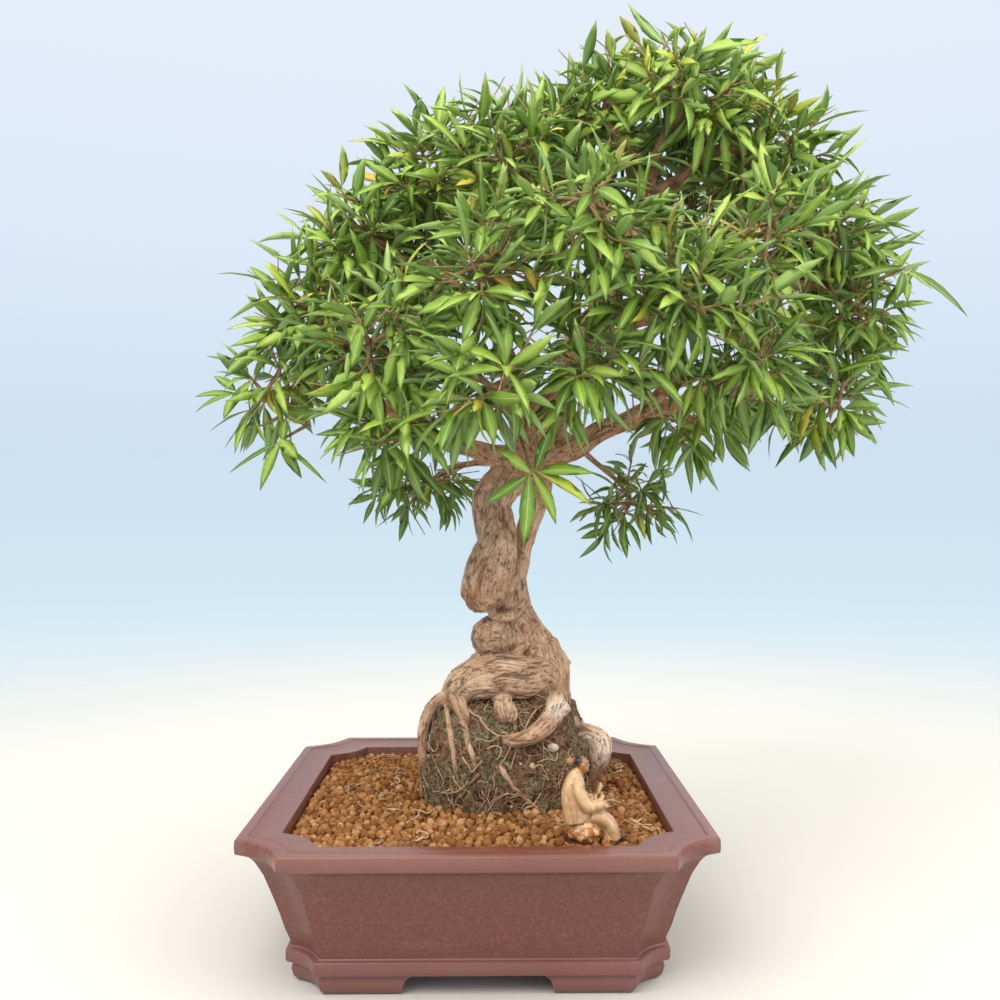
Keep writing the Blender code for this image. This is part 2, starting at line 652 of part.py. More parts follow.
def start_spray(name, limb, rand):
    """A spray's hub, turned at random, with a stem that meets the end of its limb."""
    hub = Vector(LOBES[name][1])
    shape = bmesh.new()
    bmesh.ops.create_icosphere(shape, subdivisions=1, radius=HUB_RADIUS)
    turn = Matrix.Rotation(rand.uniform(0, math.tau), 3, "Z")
    turn = turn @ Matrix.Rotation(rand.uniform(0, math.tau), 3, "X")
    bmesh.ops.rotate(shape, cent=(0, 0, 0), matrix=turn, verts=shape.verts)
    bmesh.ops.translate(shape, vec=hub, verts=shape.verts)
    end = limb[-1][0]
    way = (end - hub).normalized()
    foot = max(shape.faces, key=lambda face: face.normal.dot(way))
    extend(shape, foot, face_round(foot, way, end - way * FIT_GAP, STEM_RADIUS))
    return shape


def grow_twigs(name, shape, crowd):
    """Twigs to the open side of a lobe. Returns leaf sites, ranked from the twig's tip down."""
    _, centre, radii = LOBES[name]
    hub = Vector(centre)
    ranked = sorted((f for f in shape.faces if (f.calc_center_median() - hub).length < HUB_RADIUS),
                    key=lambda face: -open_air(name, face.normal))
    most = TWIGS_BEHIND if hub.y > BEHIND else TWIGS_PER_SPRAY
    ways, sites = [], []
    for face in ranked:
        way = face.normal.copy()
        if len(ways) == most or any(way.angle(w) < TWIG_SPREAD for w in ways):
            continue
        tip = hub + Vector([way[i] * radii[i] * TWIG_REACH for i in range(3)])
        start = tip - (tip - hub).normalized() * (2 * WHORL_STEP)
        along = (tip - hub).normalized()
        guard = ring_solid([face_round(face, along, place, TWIG_RADIUS + CLEARANCE)
                            for place in (hub + along * HUB_RADIUS, tip)])
        if not crowd.is_clear(guard, (name,)):
            continue
        ways.append(way)
        twig = f"{name}_{len(ways)}"
        crowd.add(guard, twig)
        end = extend(shape, face, face_round(face, along, start, TWIG_RADIUS))
        end, low_sites = grow_whorl(shape, end, along)
        end, high_sites = grow_whorl(shape, end, along)
        crown = max(end.verts, key=lambda vert: vert.co.z)
        sites.append((0, twig, along, end, crown))
        sites += [(1, twig, along, *site) for site in high_sites]
        sites += [(2, twig, along, *site) for site in low_sites]
    return sites


def grow_crown(limbs, rand):
    """Every spray as one mesh that grows by extrusion. A leaf with no clear way is left out."""
    crowd = Crowd()
    for forks in LIMBS:
        crowd.add(solid_of(tube("guard", [FORKS[fork] for fork in forks], 1, CLEARANCE)), "limb")
    for name, rows in TRUNK.items():
        crowd.add(solid_of(tube("guard", rows, 1, CLEARANCE)), "trunk")
    shapes = {}
    for name, rows in limbs.items():
        crowd.add(solid_of(tube("guard", rows, 0, CLEARANCE)), "limb_" + name)
        stem = [(rows[-1][0], STEM_RADIUS), (LOBES[name][1], HUB_RADIUS)]
        crowd.add(solid_of(tube("guard", stem, 1, CLEARANCE)), name)
        shapes[name] = start_spray(name, rows, rand)
    sites = []
    for name, shape in shapes.items():
        sites += [(rank, rand.random(), name, *site)
                  for rank, *site in grow_twigs(name, shape, crowd)]
    for rank, _, name, twig, along, face, apex in sorted(sites, key=lambda site: site[:2]):
        droop = 0.75 if LOBES[name][1][2] < LOW_LOBE else 0.35
        for _ in range(LEAF_TRIES):
            pose = leaf_pose(face, apex, along, LEAF_LEANS[rank], droop, rand)
            whole, outer = leaf_guard(pose, 0.15), leaf_guard(pose, 0.5)
            friends = (twig, twig + "_leaf_root")
            if crowd.is_clear(whole, friends) and crowd.is_clear(outer, friends):
                crowd.add(whole, twig + "_leaf_root")
                crowd.add(outer, "leaf")
                grow_leaf(shapes[name], face, apex, pose)
                break
    sprays = []
    for name, shape in shapes.items():
        bmesh.ops.triangulate(shape, faces=shape.faces)
        sprays.append(mesh_object("spray_" + name, shape))
    return sprays


# Root ball, grit and figure


def make_root_ball():
    ball = lump("root_ball", BALL_CENTRE, BALL_RADII, 3, BALL_ROUGHNESS, 0.0, BALL_FULLNESS)
    cut(ball, [box("below", (-0.2, -0.2, 0.0), (0.2, 0.2, BALL_BOTTOM))])
    cut(ball, [join_all("wood", wood_pieces(FIT_GAP))], "MANIFOLD")
    return ball


def grit_height(x, y):
    """The grit's own level, mounded round the root ball, before its grains."""
    away = math.hypot(x - BALL_CENTRE.x, y - BALL_CENTRE.y)
    return GRIT_EDGE_HEIGHT + GRIT_MOUND * math.exp(-(away / GRIT_MOUND_RADIUS) ** 2 * 0.7)


def make_grit(rand):
    """Grit that fills the pot up to a rough surface, with a hole for the root ball and roots."""
    size = 2 * RIM_INNER_HALF
    shape = bmesh.new()
    bmesh.ops.create_grid(shape, x_segments=GRIT_CELLS, y_segments=GRIT_CELLS, size=size / 2)
    for vert in shape.verts:
        vert.co.x += rand.uniform(-0.25, 0.25) * size / GRIT_CELLS
        vert.co.y += rand.uniform(-0.25, 0.25) * size / GRIT_CELLS
        spot = Vector((vert.co.x, vert.co.y)) - FIGURE_SPOT.xy
        if spot.length < FIGURE_PAD_RADIUS:
            vert.co.z = FIGURE_SPOT.z - FIT_GAP
        else:
            vert.co.z = grit_height(vert.co.x, vert.co.y) + rand.uniform(-1, 1) * GRIT_BUMP
    top_faces = list(shape.faces)
    walls = bmesh.ops.extrude_face_region(shape, geom=top_faces)
    for vert in [v for v in walls["geom"] if isinstance(v, bmesh.types.BMVert)]:
        vert.co.z = 0.0
    grit = mesh_object("grit", shape)
    boolean(grit, [pot_cavity(FIT_GAP, 0.2)], "INTERSECT", "EXACT")
    return grit


def make_figure():
    """A scholar seated on a rock, reading, in one piece of glazed clay."""
    spot = FIGURE_SPOT

    def at(x, y, z):
        return spot + Vector((x, y, z))

    rock = lump("rock", at(0.000, 0.000, 0.007), (0.0150, 0.0120, 0.0120), 2, 0.25)
    pieces = [
        lump("seat", at(-0.004, 0.000, 0.019), (0.0130, 0.0110, 0.0090), 1),
        tube("back", [(at(-0.006, 0, 0.016), 0.0102), (at(-0.0075, 0, 0.032), 0.0088),
                      (at(-0.0065, 0, 0.044), 0.0066), (at(-0.003, 0, 0.050), 0.0028)], 2),
        lump("head", at(-0.0015, 0.000, 0.0535), (0.0048, 0.0044, 0.0058), 2),
        tube("knot", [(at(-0.004, 0, 0.0550), 0.0020), (at(-0.0100, 0, 0.0560), 0.0020)], 0),
        lump("bun", at(-0.0108, 0.000, 0.0562), (0.0028, 0.0028, 0.0027), 1),
        tube("legs", [(at(-0.004, 0, 0.018), 0.0088), (at(0.009, 0, 0.0180), 0.0074),
                      (at(0.016, 0, 0.011), 0.0068), (at(0.019, 0, 0.002), 0.0078)], 1),
        tube("shoe", [(at(0.019, -0.003, 0.0024), 0.0023), (at(0.0268, -0.003, 0.0026), 0.0018)], 0),
        tube("book", [(at(0.0090, -0.002, 0.029), 0.0032), (at(0.0125, -0.002, 0.036), 0.0032)], 0),
    ]
    for side in (-1, 1):
        pieces.append(tube("arm", [
            (at(-0.005, 0.006 * side, 0.041), 0.0040), (at(0.000, 0.009 * side, 0.030), 0.0044),
            (at(0.0075, 0.006 * side, 0.026), 0.0042), (at(0.0140, 0.003 * side, 0.028), 0.0026)], 1))
    figure = join_all("scholar_figure", [rock] + pieces)
    cut(figure, [box("ground", spot - Vector((0.1, 0.1, 0.05)), spot + Vector((0.1, 0.1, 0.0)))])
    return figure


# Assembly


def main():
    rand = random.Random(SEED)
    clear_scene()
    bonsai = new_collection("willow_leaf_fig_bonsai")
    clay = material("brown_clay", (0.20, 0.085, 0.070), 0.45)
    bark = material("bark", (0.36, 0.23, 0.15), 0.9)
    fibre = material("root_fibre", (0.10, 0.06, 0.035), 0.95)
    sand = material("tan_grit", (0.50, 0.28, 0.10), 0.95)
    green = material("leaf_green", (0.10, 0.26, 0.05), 0.5)
    cream = material("cream_glaze", (0.70, 0.52, 0.30), 0.3)
    plastic = material("black_plastic", (0.02, 0.02, 0.02), 0.6)

    limbs = {name: lobe_limb(*lobe) for name, lobe in LOBES.items()}
    sprays = grow_crown(limbs, rand)
    tree = make_tree(limbs)
    ball = make_root_ball()
    grit = make_grit(rand)
    screens = [make_screen("drain_screen_left", -DRAIN_OFFSET),
               make_screen("drain_screen_right", DRAIN_OFFSET)]
    margin = SCREEN_SIDE / 2 + FIT_GAP
    pockets = [box("pocket", (x - margin, -margin, 0.0),
                   (x + margin, margin, FLOOR_TOP + SCREEN_THICKNESS + 2 * FIT_GAP))
               for x in (-DRAIN_OFFSET, DRAIN_OFFSET)]
    hole = lump("hole", BALL_CENTRE, BALL_RADII, 3, BALL_ROUGHNESS, FIT_GAP, BALL_FULLNESS)
    cut(hole, [box("below", (-0.2, -0.2, 0.0), (0.2, 0.2, BALL_BOTTOM - FIT_GAP))])
    cut(grit, pockets + [join_all("hole", [hole] + wood_pieces(FIT_GAP))])
    made = [(make_pot(), clay), (tree, bark), (ball, fibre), (grit, sand),
            (make_figure(), cream), *((screen, plastic) for screen in screens),
            *((spray, green) for spray in sprays)]

    origin = bpy.data.objects.new("bonsai_origin", None)
    origin.location = POT_CENTRE
    bonsai.objects.link(origin)
    for obj, look in made:
        obj.data.materials.clear()
        obj.data.materials.append(look)
        obj.data.shade_smooth()
        obj.data.set_sharp_from_angle(angle=SHARP_EDGE)
        bpy.context.scene.collection.objects.unlink(obj)
        bonsai.objects.link(obj)
        obj.parent = origin


main()
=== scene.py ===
# Willow leaf fig bonsai in a square unglazed pot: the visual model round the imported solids.
# Sizes are in metres. The axes are X to the right, Y to the back and Z up.
import math
import random

import bmesh
import bpy
import numpy as np
from mathutils import Euler, Matrix, Quaternion, Vector, noise
from mathutils.bvhtree import BVHTree
from mathutils.kdtree import KDTree


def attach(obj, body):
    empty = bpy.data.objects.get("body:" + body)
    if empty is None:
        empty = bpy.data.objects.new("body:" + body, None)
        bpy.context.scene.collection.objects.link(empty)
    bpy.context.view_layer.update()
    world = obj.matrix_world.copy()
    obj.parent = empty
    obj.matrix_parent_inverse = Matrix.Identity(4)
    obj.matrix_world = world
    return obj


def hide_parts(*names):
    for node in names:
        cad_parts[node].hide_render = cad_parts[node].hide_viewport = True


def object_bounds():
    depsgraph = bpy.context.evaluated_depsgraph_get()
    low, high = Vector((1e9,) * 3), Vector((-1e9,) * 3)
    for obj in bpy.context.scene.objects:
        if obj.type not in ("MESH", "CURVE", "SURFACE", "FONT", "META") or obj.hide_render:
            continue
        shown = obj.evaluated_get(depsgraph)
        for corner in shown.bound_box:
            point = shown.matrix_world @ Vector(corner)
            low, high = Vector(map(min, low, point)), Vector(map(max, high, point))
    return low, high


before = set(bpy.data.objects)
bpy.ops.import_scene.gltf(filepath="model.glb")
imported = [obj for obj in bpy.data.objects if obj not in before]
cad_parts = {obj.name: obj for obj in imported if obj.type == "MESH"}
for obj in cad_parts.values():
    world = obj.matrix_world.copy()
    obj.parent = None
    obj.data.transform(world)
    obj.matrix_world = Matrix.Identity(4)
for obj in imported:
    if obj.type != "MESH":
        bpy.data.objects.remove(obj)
cad_low, cad_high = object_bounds()

SEED = 5
UP = Vector((0, 0, 1))
# All places below are from the pot's centre, and this is where that stands in the frame
POT_CENTRE = np.array((-0.075, 0.0035, 0.0))
REACH_BEYOND_CAD = 0.010

# Camera, as the photograph was taken: straight in front of the pot, level with the trunk's top
CAMERA_PLACE = (0.0077, -0.829, 0.343)
CAMERA_LENS = 35.75
CAMERA_SENSOR = 36.0
CAMERA_PITCH = math.radians(0.29)
CAMERA_YAW = math.radians(0.63)

# Studio. Each light is (name, place, width, watts). A backdrop row is (height, screen colour), with
# the height from 0 straight down to 1 straight up
FLOOR_RADIUS = 2.4
FLOOR_CLEAR = 0.5
LIGHTS = (
    ("key", (-0.9, -1.3, 1.9), 1.4, 40),
    ("fill", (1.5, -0.8, 1.2), 1.6, 17),
    ("back", (0.2, 1.6, 1.8), 1.6, 14),
    ("top", (0.1, -0.4, 2.3), 1.6, 18),
)
LIT_POINT = (0, 0, 0.35)
LIGHT_COLOUR = (1.0, 0.94, 0.86)
BACKDROP = (
    (0.42, (230, 243, 248)), (0.455, (210, 233, 245)), (0.525, (206, 225, 240)),
    (0.625, (222, 234, 250)), (0.73, (230, 238, 250)), (0.80, (255, 252, 246)),
)

# Pot: each row is (half width, corner cut, height)
POT_OUTSIDE = (
    (0.133, 0.023, 0.015), (0.1372, 0.0239, 0.0156), (0.138, 0.0241, 0.017), (0.1382, 0.0241, 0.021),
    (0.138, 0.0241, 0.0246), (0.1374, 0.024, 0.0253), (0.1352, 0.0237, 0.0258),
    (0.1346, 0.0236, 0.0268), (0.1355, 0.024, 0.031), (0.139, 0.0255, 0.04), (0.1419, 0.0269, 0.05),
    (0.1452, 0.0285, 0.06), (0.1488, 0.0302, 0.07), (0.1525, 0.032, 0.08), (0.1553, 0.033, 0.0855),
    (0.158, 0.034, 0.0905), (0.1608, 0.0346, 0.0942), (0.164, 0.0352, 0.0968), (0.1672, 0.0359, 0.0981),
    (0.1693, 0.0364, 0.0989), (0.17, 0.0365, 0.1), (0.1702, 0.0365, 0.1045), (0.17, 0.0365, 0.1088),
    (0.1693, 0.0363, 0.1097), (0.1684, 0.0361, 0.11),
)
POT_INSIDE = (
    (0.1632, 0.0352, 0.11), (0.1622, 0.035, 0.1098), (0.1617, 0.0349, 0.1092), (0.1606, 0.0347, 0.1092),
    (0.1598, 0.0346, 0.1095), (0.15, 0.0322, 0.1084), (0.1425, 0.0303, 0.1075), (0.1413, 0.03, 0.1071),
    (0.1409, 0.0299, 0.106), (0.14, 0.0296, 0.09), (0.133, 0.027, 0.06), (0.12, 0.0215, 0.026),
)
POT_FEET = (
    (0.129, 0.022, 0.0), (0.1305, 0.0224, 0.0008), (0.133, 0.023, 0.004), (0.1345, 0.0234, 0.01),
    (0.1325, 0.023, 0.0185),
)
CORNER_BITE = 0.0065
CORNER_POINTS = 9
CORNER_FULL = 0.0365
FOOT_INNER_HALF = 0.107
FOOT_INNER_CUT = 0.012
# The gap between the feet, as (height, half width) rows, and how far the cutter reaches
FOOT_GAP = (
    (-0.001, 0.054), (0.005, 0.053), (0.011, 0.051), (0.0146, 0.0455), (0.015, 0.04),
)
GAP_REACH = 0.2
DRAIN_RADIUS = 0.010
DRAIN_OFFSET = 0.055
DRAIN_SIDES = 32
DRAIN_HEIGHTS = (0.0, 0.08)
# The rim's inner part and the inner wall, within and above these, are painted redder and darker: partly
# the clay's own colour, partly painted shade
INNER_RED_SHADE_WITHIN = 0.164
INNER_RED_SHADE_ABOVE = 0.030
SHARP_EDGE = math.radians(38)

# Trunk, roots and folds: each piece is a bent tapered tube, as (x, y, z, radius) rows
WOOD_VOXEL = 0.0015
# From this radius on, the bark is at its roughest, and its plates fade out this near a seam
THICK_WOOD = 0.017
SEAM_WIDTH = 0.0025
# Bark turns fresh and red below and above these heights
RED_BELOW = 0.148
RED_ABOVE = 0.345
# How far plates, strands and swellings of the bark stand out on the thickest wood
PLATE_RISE = 0.0011
STRAND_RISE = 0.0004
SWELL_RISE = 0.0011
TRUNK = {
    "base": ((0.052, 0.004, 0.12, 0.024), (0.05, 0.0, 0.165, 0.0255), (0.0495, -0.002, 0.19, 0.0252),
        (0.0505, -0.003, 0.206, 0.0242), (0.045, -0.001, 0.228, 0.0195)),
    "lower": ((0.049, 0.0, 0.216, 0.02), (0.0335, 0.0, 0.24, 0.0185), (0.0265, 0.002, 0.258, 0.017),
        (0.0255, 0.007, 0.279, 0.0145), (0.031, 0.01, 0.3, 0.0105)),
    "right_stem": ((0.028, 0.01, 0.282, 0.0125), (0.034, 0.009, 0.294, 0.008),
        (0.0362, 0.008, 0.305, 0.007), (0.0392, 0.007, 0.3215, 0.0094), (0.046, 0.007, 0.3395, 0.0093),
        (0.049, 0.004, 0.354, 0.0112), (0.046, 0.0, 0.376, 0.0135)),
    "club": ((0.0055, -0.017, 0.259, 0.0105), (0.0038, -0.019, 0.268, 0.0178),
        (0.0058, -0.019, 0.282, 0.02), (0.0098, -0.018, 0.295, 0.0195), (0.0138, -0.017, 0.309, 0.0172),
        (0.016, -0.016, 0.323, 0.0144), (0.0168, -0.014, 0.335, 0.011), (0.0165, -0.011, 0.344, 0.0098),
        (0.0225, -0.007, 0.356, 0.0112), (0.04, 0.0, 0.378, 0.016)),
    "bark_strip": ((0.0012, -0.006, 0.312, 0.003), (0.0008, -0.007, 0.326, 0.0056),
        (-0.0002, -0.007, 0.339, 0.0066), (0.0016, -0.006, 0.3505, 0.008),
        (0.007, -0.004, 0.359, 0.0088), (0.018, 0.0, 0.368, 0.01), (0.032, 0.001, 0.377, 0.012)),
    "burl": ((-0.021, -0.028, 0.183, 0.0115), (-0.0115, -0.034, 0.2, 0.0152),
        (0.008, -0.037, 0.2065, 0.017), (0.032, -0.032, 0.205, 0.017), (0.052, -0.012, 0.203, 0.017)),
    "burl_back": ((-0.014, -0.018, 0.188, 0.013), (-0.003, 0.01, 0.196, 0.016),
        (0.018, 0.026, 0.2, 0.0175), (0.046, 0.014, 0.203, 0.0185)),
}
# Each lump is (centre, radii)
LUMPS = {
    "knob": ((0.0115, -0.009, 0.2335), (0.0185, 0.0175, 0.019)),
    "crotch": ((0.043, 0.0, 0.383), (0.019, 0.018, 0.017)),
    "callus": ((0.0625, -0.045, 0.1825), (0.0095, 0.0075, 0.0066)),
    "spur": ((0.071, -0.004, 0.2125), (0.0052, 0.003, 0.0025)),
    "saddle": ((0.02, -0.002, 0.208), (0.032, 0.03, 0.017)),
}
ROOTS = {
    "left_arch": ((-0.012, -0.034, 0.197, 0.008), (-0.0264, -0.035, 0.1918, 0.0058),
        (-0.0375, -0.033, 0.1846, 0.005), (-0.0435, -0.031, 0.1715, 0.0048),
        (-0.0458, -0.03, 0.156, 0.0043), (-0.0445, -0.03, 0.136, 0.0037),
        (-0.037, -0.028, 0.106, 0.0024)),
    "left_front": ((-0.019, -0.04, 0.197, 0.0042), (-0.0205, -0.043, 0.1915, 0.0036),
        (-0.015, -0.049, 0.177, 0.0033), (-0.0085, -0.058, 0.158, 0.0029),
        (-0.0034, -0.0615, 0.144, 0.0025), (-0.001, -0.058, 0.13, 0.0018)),
    "left_inner": ((-0.0265, -0.034, 0.189, 0.0028), (-0.0258, -0.041, 0.18, 0.0022),
        (-0.0245, -0.049, 0.17, 0.0027), (-0.0215, -0.054, 0.156, 0.0026),
        (-0.018, -0.056, 0.138, 0.0021), (-0.015, -0.052, 0.122, 0.0015)),
    "short_front": ((-0.01, -0.04, 0.199, 0.0046), (-0.0135, -0.046, 0.191, 0.0039),
        (-0.0125, -0.0485, 0.1845, 0.0033), (-0.01, -0.049, 0.178, 0.0025),
        (-0.008, -0.047, 0.171, 0.0016)),
    "diagonal": ((0.062, -0.018, 0.191, 0.009), (0.061, -0.044, 0.1815, 0.0087),
        (0.0526, -0.052, 0.1728, 0.008), (0.0416, -0.057, 0.1655, 0.007),
        (0.0306, -0.059, 0.1615, 0.006), (0.019, -0.054, 0.16, 0.0042)),
    "right_knee": ((0.06, -0.01, 0.174, 0.013), (0.077, -0.014, 0.1585, 0.009),
        (0.0875, -0.017, 0.1545, 0.0092), (0.0952, -0.018, 0.1492, 0.0106),
        (0.0972, -0.018, 0.137, 0.009), (0.093, -0.015, 0.123, 0.0064), (0.083, -0.012, 0.108, 0.005)),
    "back_right": ((0.056, 0.014, 0.188, 0.0125), (0.064, 0.034, 0.17, 0.01),
        (0.069, 0.044, 0.148, 0.0086), (0.068, 0.045, 0.124, 0.0076), (0.058, 0.038, 0.098, 0.0066)),
    "back_middle": ((0.022, 0.03, 0.196, 0.013), (0.018, 0.05, 0.176, 0.01),
        (0.012, 0.06, 0.15, 0.0085), (0.012, 0.062, 0.124, 0.0074), (0.014, 0.052, 0.098, 0.0062)),
    "back_left": ((-0.006, 0.008, 0.192, 0.012), (-0.026, 0.022, 0.178, 0.0086),
        (-0.037, 0.03, 0.158, 0.0074), (-0.039, 0.034, 0.13, 0.0064), (-0.031, 0.03, 0.1, 0.0054)),
    "low_front": ((0.036, -0.012, 0.146, 0.0036), (0.016, -0.05, 0.14, 0.0028),
        (0.0185, -0.062, 0.135, 0.0027), (0.025, -0.064, 0.126, 0.0024),
        (0.0323, -0.0645, 0.1195, 0.0022), (0.048, -0.059, 0.105, 0.0018)),
    "cut_root": ((0.014, -0.03, 0.197, 0.007), (0.019, -0.044, 0.19, 0.0076),
        (0.02, -0.05, 0.1815, 0.0078), (0.0215, -0.05, 0.175, 0.006)),
}
# Folds of the bark, each a low bent ridge
FOLDS = {
    "under_club": ((0.031, -0.003, 0.285, 0.0028), (0.0245, -0.009, 0.273, 0.0038),
        (0.0165, -0.015, 0.263, 0.004), (0.007, -0.018, 0.258, 0.0034)),
    "lip": ((0.007, -0.0225, 0.2545, 0.0034), (0.02, -0.022, 0.252, 0.0042),
        (0.031, -0.016, 0.2555, 0.0036), (0.038, -0.01, 0.264, 0.0024)),
    "crease": ((0.019, -0.027, 0.217, 0.0024), (0.026, -0.0275, 0.2215, 0.0034),
        (0.033, -0.0255, 0.226, 0.0034), (0.04, -0.0205, 0.231, 0.0024)),
    "base_upper": ((0.047, -0.027, 0.1905, 0.0026), (0.059, -0.0265, 0.19, 0.0034),
        (0.069, -0.018, 0.189, 0.0026)),
    "base_lower": ((0.05, -0.029, 0.1845, 0.0024), (0.062, -0.027, 0.185, 0.003),
        (0.0705, -0.018, 0.184, 0.0024)),
    "knot_left": ((0.015, -0.046, 0.19, 0.0036), (0.0165, -0.054, 0.184, 0.0052),
        (0.018, -0.055, 0.1765, 0.004)),
    "knot_right": ((0.024, -0.046, 0.186, 0.0034), (0.0262, -0.053, 0.18, 0.0048),
        (0.024, -0.054, 0.1735, 0.0034)),
}
# The club's smooth red-brown end, the rough burl, and the pale worn places: (centre, radii)
SCAR = ((-0.005, -0.03, 0.269), (0.013, 0.016, 0.012))
BURL = ((0.01, -0.035, 0.205), (0.048, 0.024, 0.02))
PALE = (((0.0965, -0.02, 0.147), (0.021, 0.023, 0.019)), ((0.0625, -0.049, 0.183), (0.016, 0.015, 0.012)))

# Root ball
BALL_CENTRE = Vector((0.020, 0.000, 0.117))
BALL_RADII = Vector((0.068, 0.062, 0.080))
BALL_FULLNESS = 2.8
BALL_ROUGHNESS = 0.06
BALL_BOTTOM = 0.046
# Thin roots on the front of the root ball, each (radius, tint, (x, z) places)
FINE_ROOTS = (
    (0.0013, 0.75, ((-0.012, 0.196), (-0.011, 0.186), (-0.005, 0.18), (0.003, 0.177))),
    (0.0012, 0.7, ((0.0, 0.178), (0.006, 0.169), (0.014, 0.164), (0.022, 0.1635), (0.027, 0.167),
        (0.0275, 0.173))),
    (0.0011, 0.55, ((0.054, 0.185), (0.044, 0.181), (0.037, 0.17), (0.031, 0.158), (0.027, 0.147),
        (0.024, 0.139))),
    (0.001, 0.6, ((-0.047, 0.164), (-0.043, 0.156), (-0.036, 0.15), (-0.033, 0.152), (-0.032, 0.158))),
    (0.0008, 0.5, ((-0.037, 0.147), (-0.032, 0.138), (-0.027, 0.127), (-0.033, 0.117))),
    (0.0009, 0.75, ((0.006, 0.154), (0.011, 0.156), (0.017, 0.155), (0.016, 0.149), (0.012, 0.145))),
    (0.001, 0.6, ((0.018, 0.162), (0.024, 0.158), (0.021, 0.15), (0.016, 0.142))),
    (0.0009, 0.9, ((0.045, 0.143), (0.053, 0.146), (0.06, 0.145), (0.061, 0.151), (0.057, 0.157),
        (0.05, 0.16))),
    (0.0009, 0.7, ((0.023, 0.122), (0.014, 0.117), (0.007, 0.107), (0.004, 0.098))),
    (0.0009, 0.45, ((-0.008, 0.129), (-0.016, 0.122), (-0.026, 0.119), (-0.04, 0.122))),
    (0.0008, 0.95, ((0.048, 0.12), (0.042, 0.112), (0.036, 0.11), (0.033, 0.102))),
    (0.0017, 0.2, ((0.0, 0.136), (-0.006, 0.13), (-0.01, 0.124), (-0.013, 0.118))),
    (0.0012, 0.55, ((-0.013, 0.148), (-0.008, 0.142), (-0.006, 0.137), (-0.002, 0.141),
        (0.002, 0.146))),
    (0.0016, 0.25, ((-0.016, 0.107), (-0.011, 0.101), (-0.008, 0.095))),
)
# Pale stones in the root ball, each (x, z, half height)
STONES = (
    (-0.003, 0.18, 0.0026), (0.019, 0.1905, 0.0014), (0.0575, 0.154, 0.0046), (0.041, 0.141, 0.0026),
    (0.032, 0.142, 0.0018), (0.053, 0.137, 0.002), (-0.024, 0.137, 0.0026), (-0.026, 0.157, 0.0018),
)
# Curly rootlets start all over the ball, end where the grit hides them, and keep off the right knee
ROOTLETS = 1900
ROOTLET_RADII = (0.00016, 0.00018, 0.00022, 0.0003, 0.0004)
BALL_SHOWS = 0.100
KNEE_LEFT = 0.074
KNEE_TOP = 0.162
# Moss also grows round this (centre, radii), beside the right knee
KNEE_MOSS = ((0.080, -0.040, 0.138), (0.026, 0.040, 0.026))
MOSS_SPIKES = 6500
MOSS_ABOVE = 0.098
SPIKE_SUNK = 0.0008
PEBBLES = 26
PEBBLES_ABOVE = 0.104

# Grit and what lies on it. A layer is (tries, radii, least distance as a share of both radii, lift as
# a share of the radius, roundness)
RIM_INNER_HALF = 0.1395
GRIT_LOWEST = 0.094
# The pot cuts this much off the grit's corners, and the root ball covers the grit within this
# share of its own size, squared
GRIT_CORNER = 0.036
BALL_COVERS = 0.93
# Granules over this radius are rarer towards the back
COARSE_GRANULE = 0.0027
GRANULE_SHAPES = 18
GRANULE_CELL = 0.0065
GRANULE_LAYERS = (
    (6000, (0.0027, 0.0037), 0.86, 0.35, 2),
    (10400, (0.0019, 0.0028), 0.84, 0.30, 2),
    (22400, (0.0011, 0.0018), 0.80, 0.15, 1),
)
LOOSE_ROOTS = 46
HEAPED_ROOTS = 16
LOOSE_ROOT_STEP = 0.004
LOOSE_ROOT_RADII = (0.0003, 0.0004, 0.0006, 0.0008)
DRY_LEAVES = 26
# They stay this near the pot's centre, by |x| or |y| and by |x| + |y|, and clear of the figure
LOOSE_WITHIN = 0.134
LOOSE_CORNER = 0.24
DRY_LEAF_CORNER = 0.22
ROOTS_CLEAR = 0.018
DRY_LEAVES_CLEAR = 0.035

# Scholar: places are from the figure's own spot on the grit. Pairs are on both sides of it
FIGURE_SPOT = Vector((0.076, -0.116, 0.1030))
FIGURE_CLEAR = 0.0150
FIGURE_VOXEL = 0.00042
FIGURE_TUBES = (
    ("robe", ((-0.005, 0, 0.014, 0.0098), (-0.007, 0, 0.024, 0.0092), (-0.0078, 0, 0.033, 0.0085),
        (-0.007, 0, 0.041, 0.0073), (-0.0055, 0, 0.047, 0.005), (-0.0035, 0, 0.0495, 0.003))),
    ("skin", ((-0.004, 0, 0.047, 0.0026), (-0.002, 0, 0.052, 0.0025))),
    ("robe", ((-0.004, 0, 0.017, 0.0086), (0.006, 0, 0.017, 0.0072), (0.014, 0, 0.0135, 0.0066),
        (0.0185, 0, 0.007, 0.0066), (0.0195, 0, 0.0015, 0.007))),
    ("robe", ((0.004, -0.0052, 0.018, 0.0042), (0.014, -0.005, 0.015, 0.004),
        (0.0205, -0.0046, 0.006, 0.0036), (0.0222, -0.0044, 0.0015, 0.0034))),
    ("robe", ((0.004, 0.0052, 0.018, 0.0042), (0.013, 0.0052, 0.015, 0.004),
        (0.0185, 0.0046, 0.006, 0.0036), (0.0195, 0.0046, 0.0015, 0.0034))),
    ("dark", ((0.0235, -0.0035, 0.0024, 0.002), (0.0278, -0.0035, 0.0028, 0.0017))),
    ("dark", ((0.0205, 0.004, 0.0022, 0.0019), (0.0245, 0.004, 0.0024, 0.0016))),
    ("hair", ((-0.0048, 0, 0.0552, 0.0019), (-0.0088, 0, 0.056, 0.0015))),
    ("robe", ((-0.0075, 0.0, 0.0445, 0.0052), (-0.0045, -0.0005, 0.0462, 0.0046))),
)
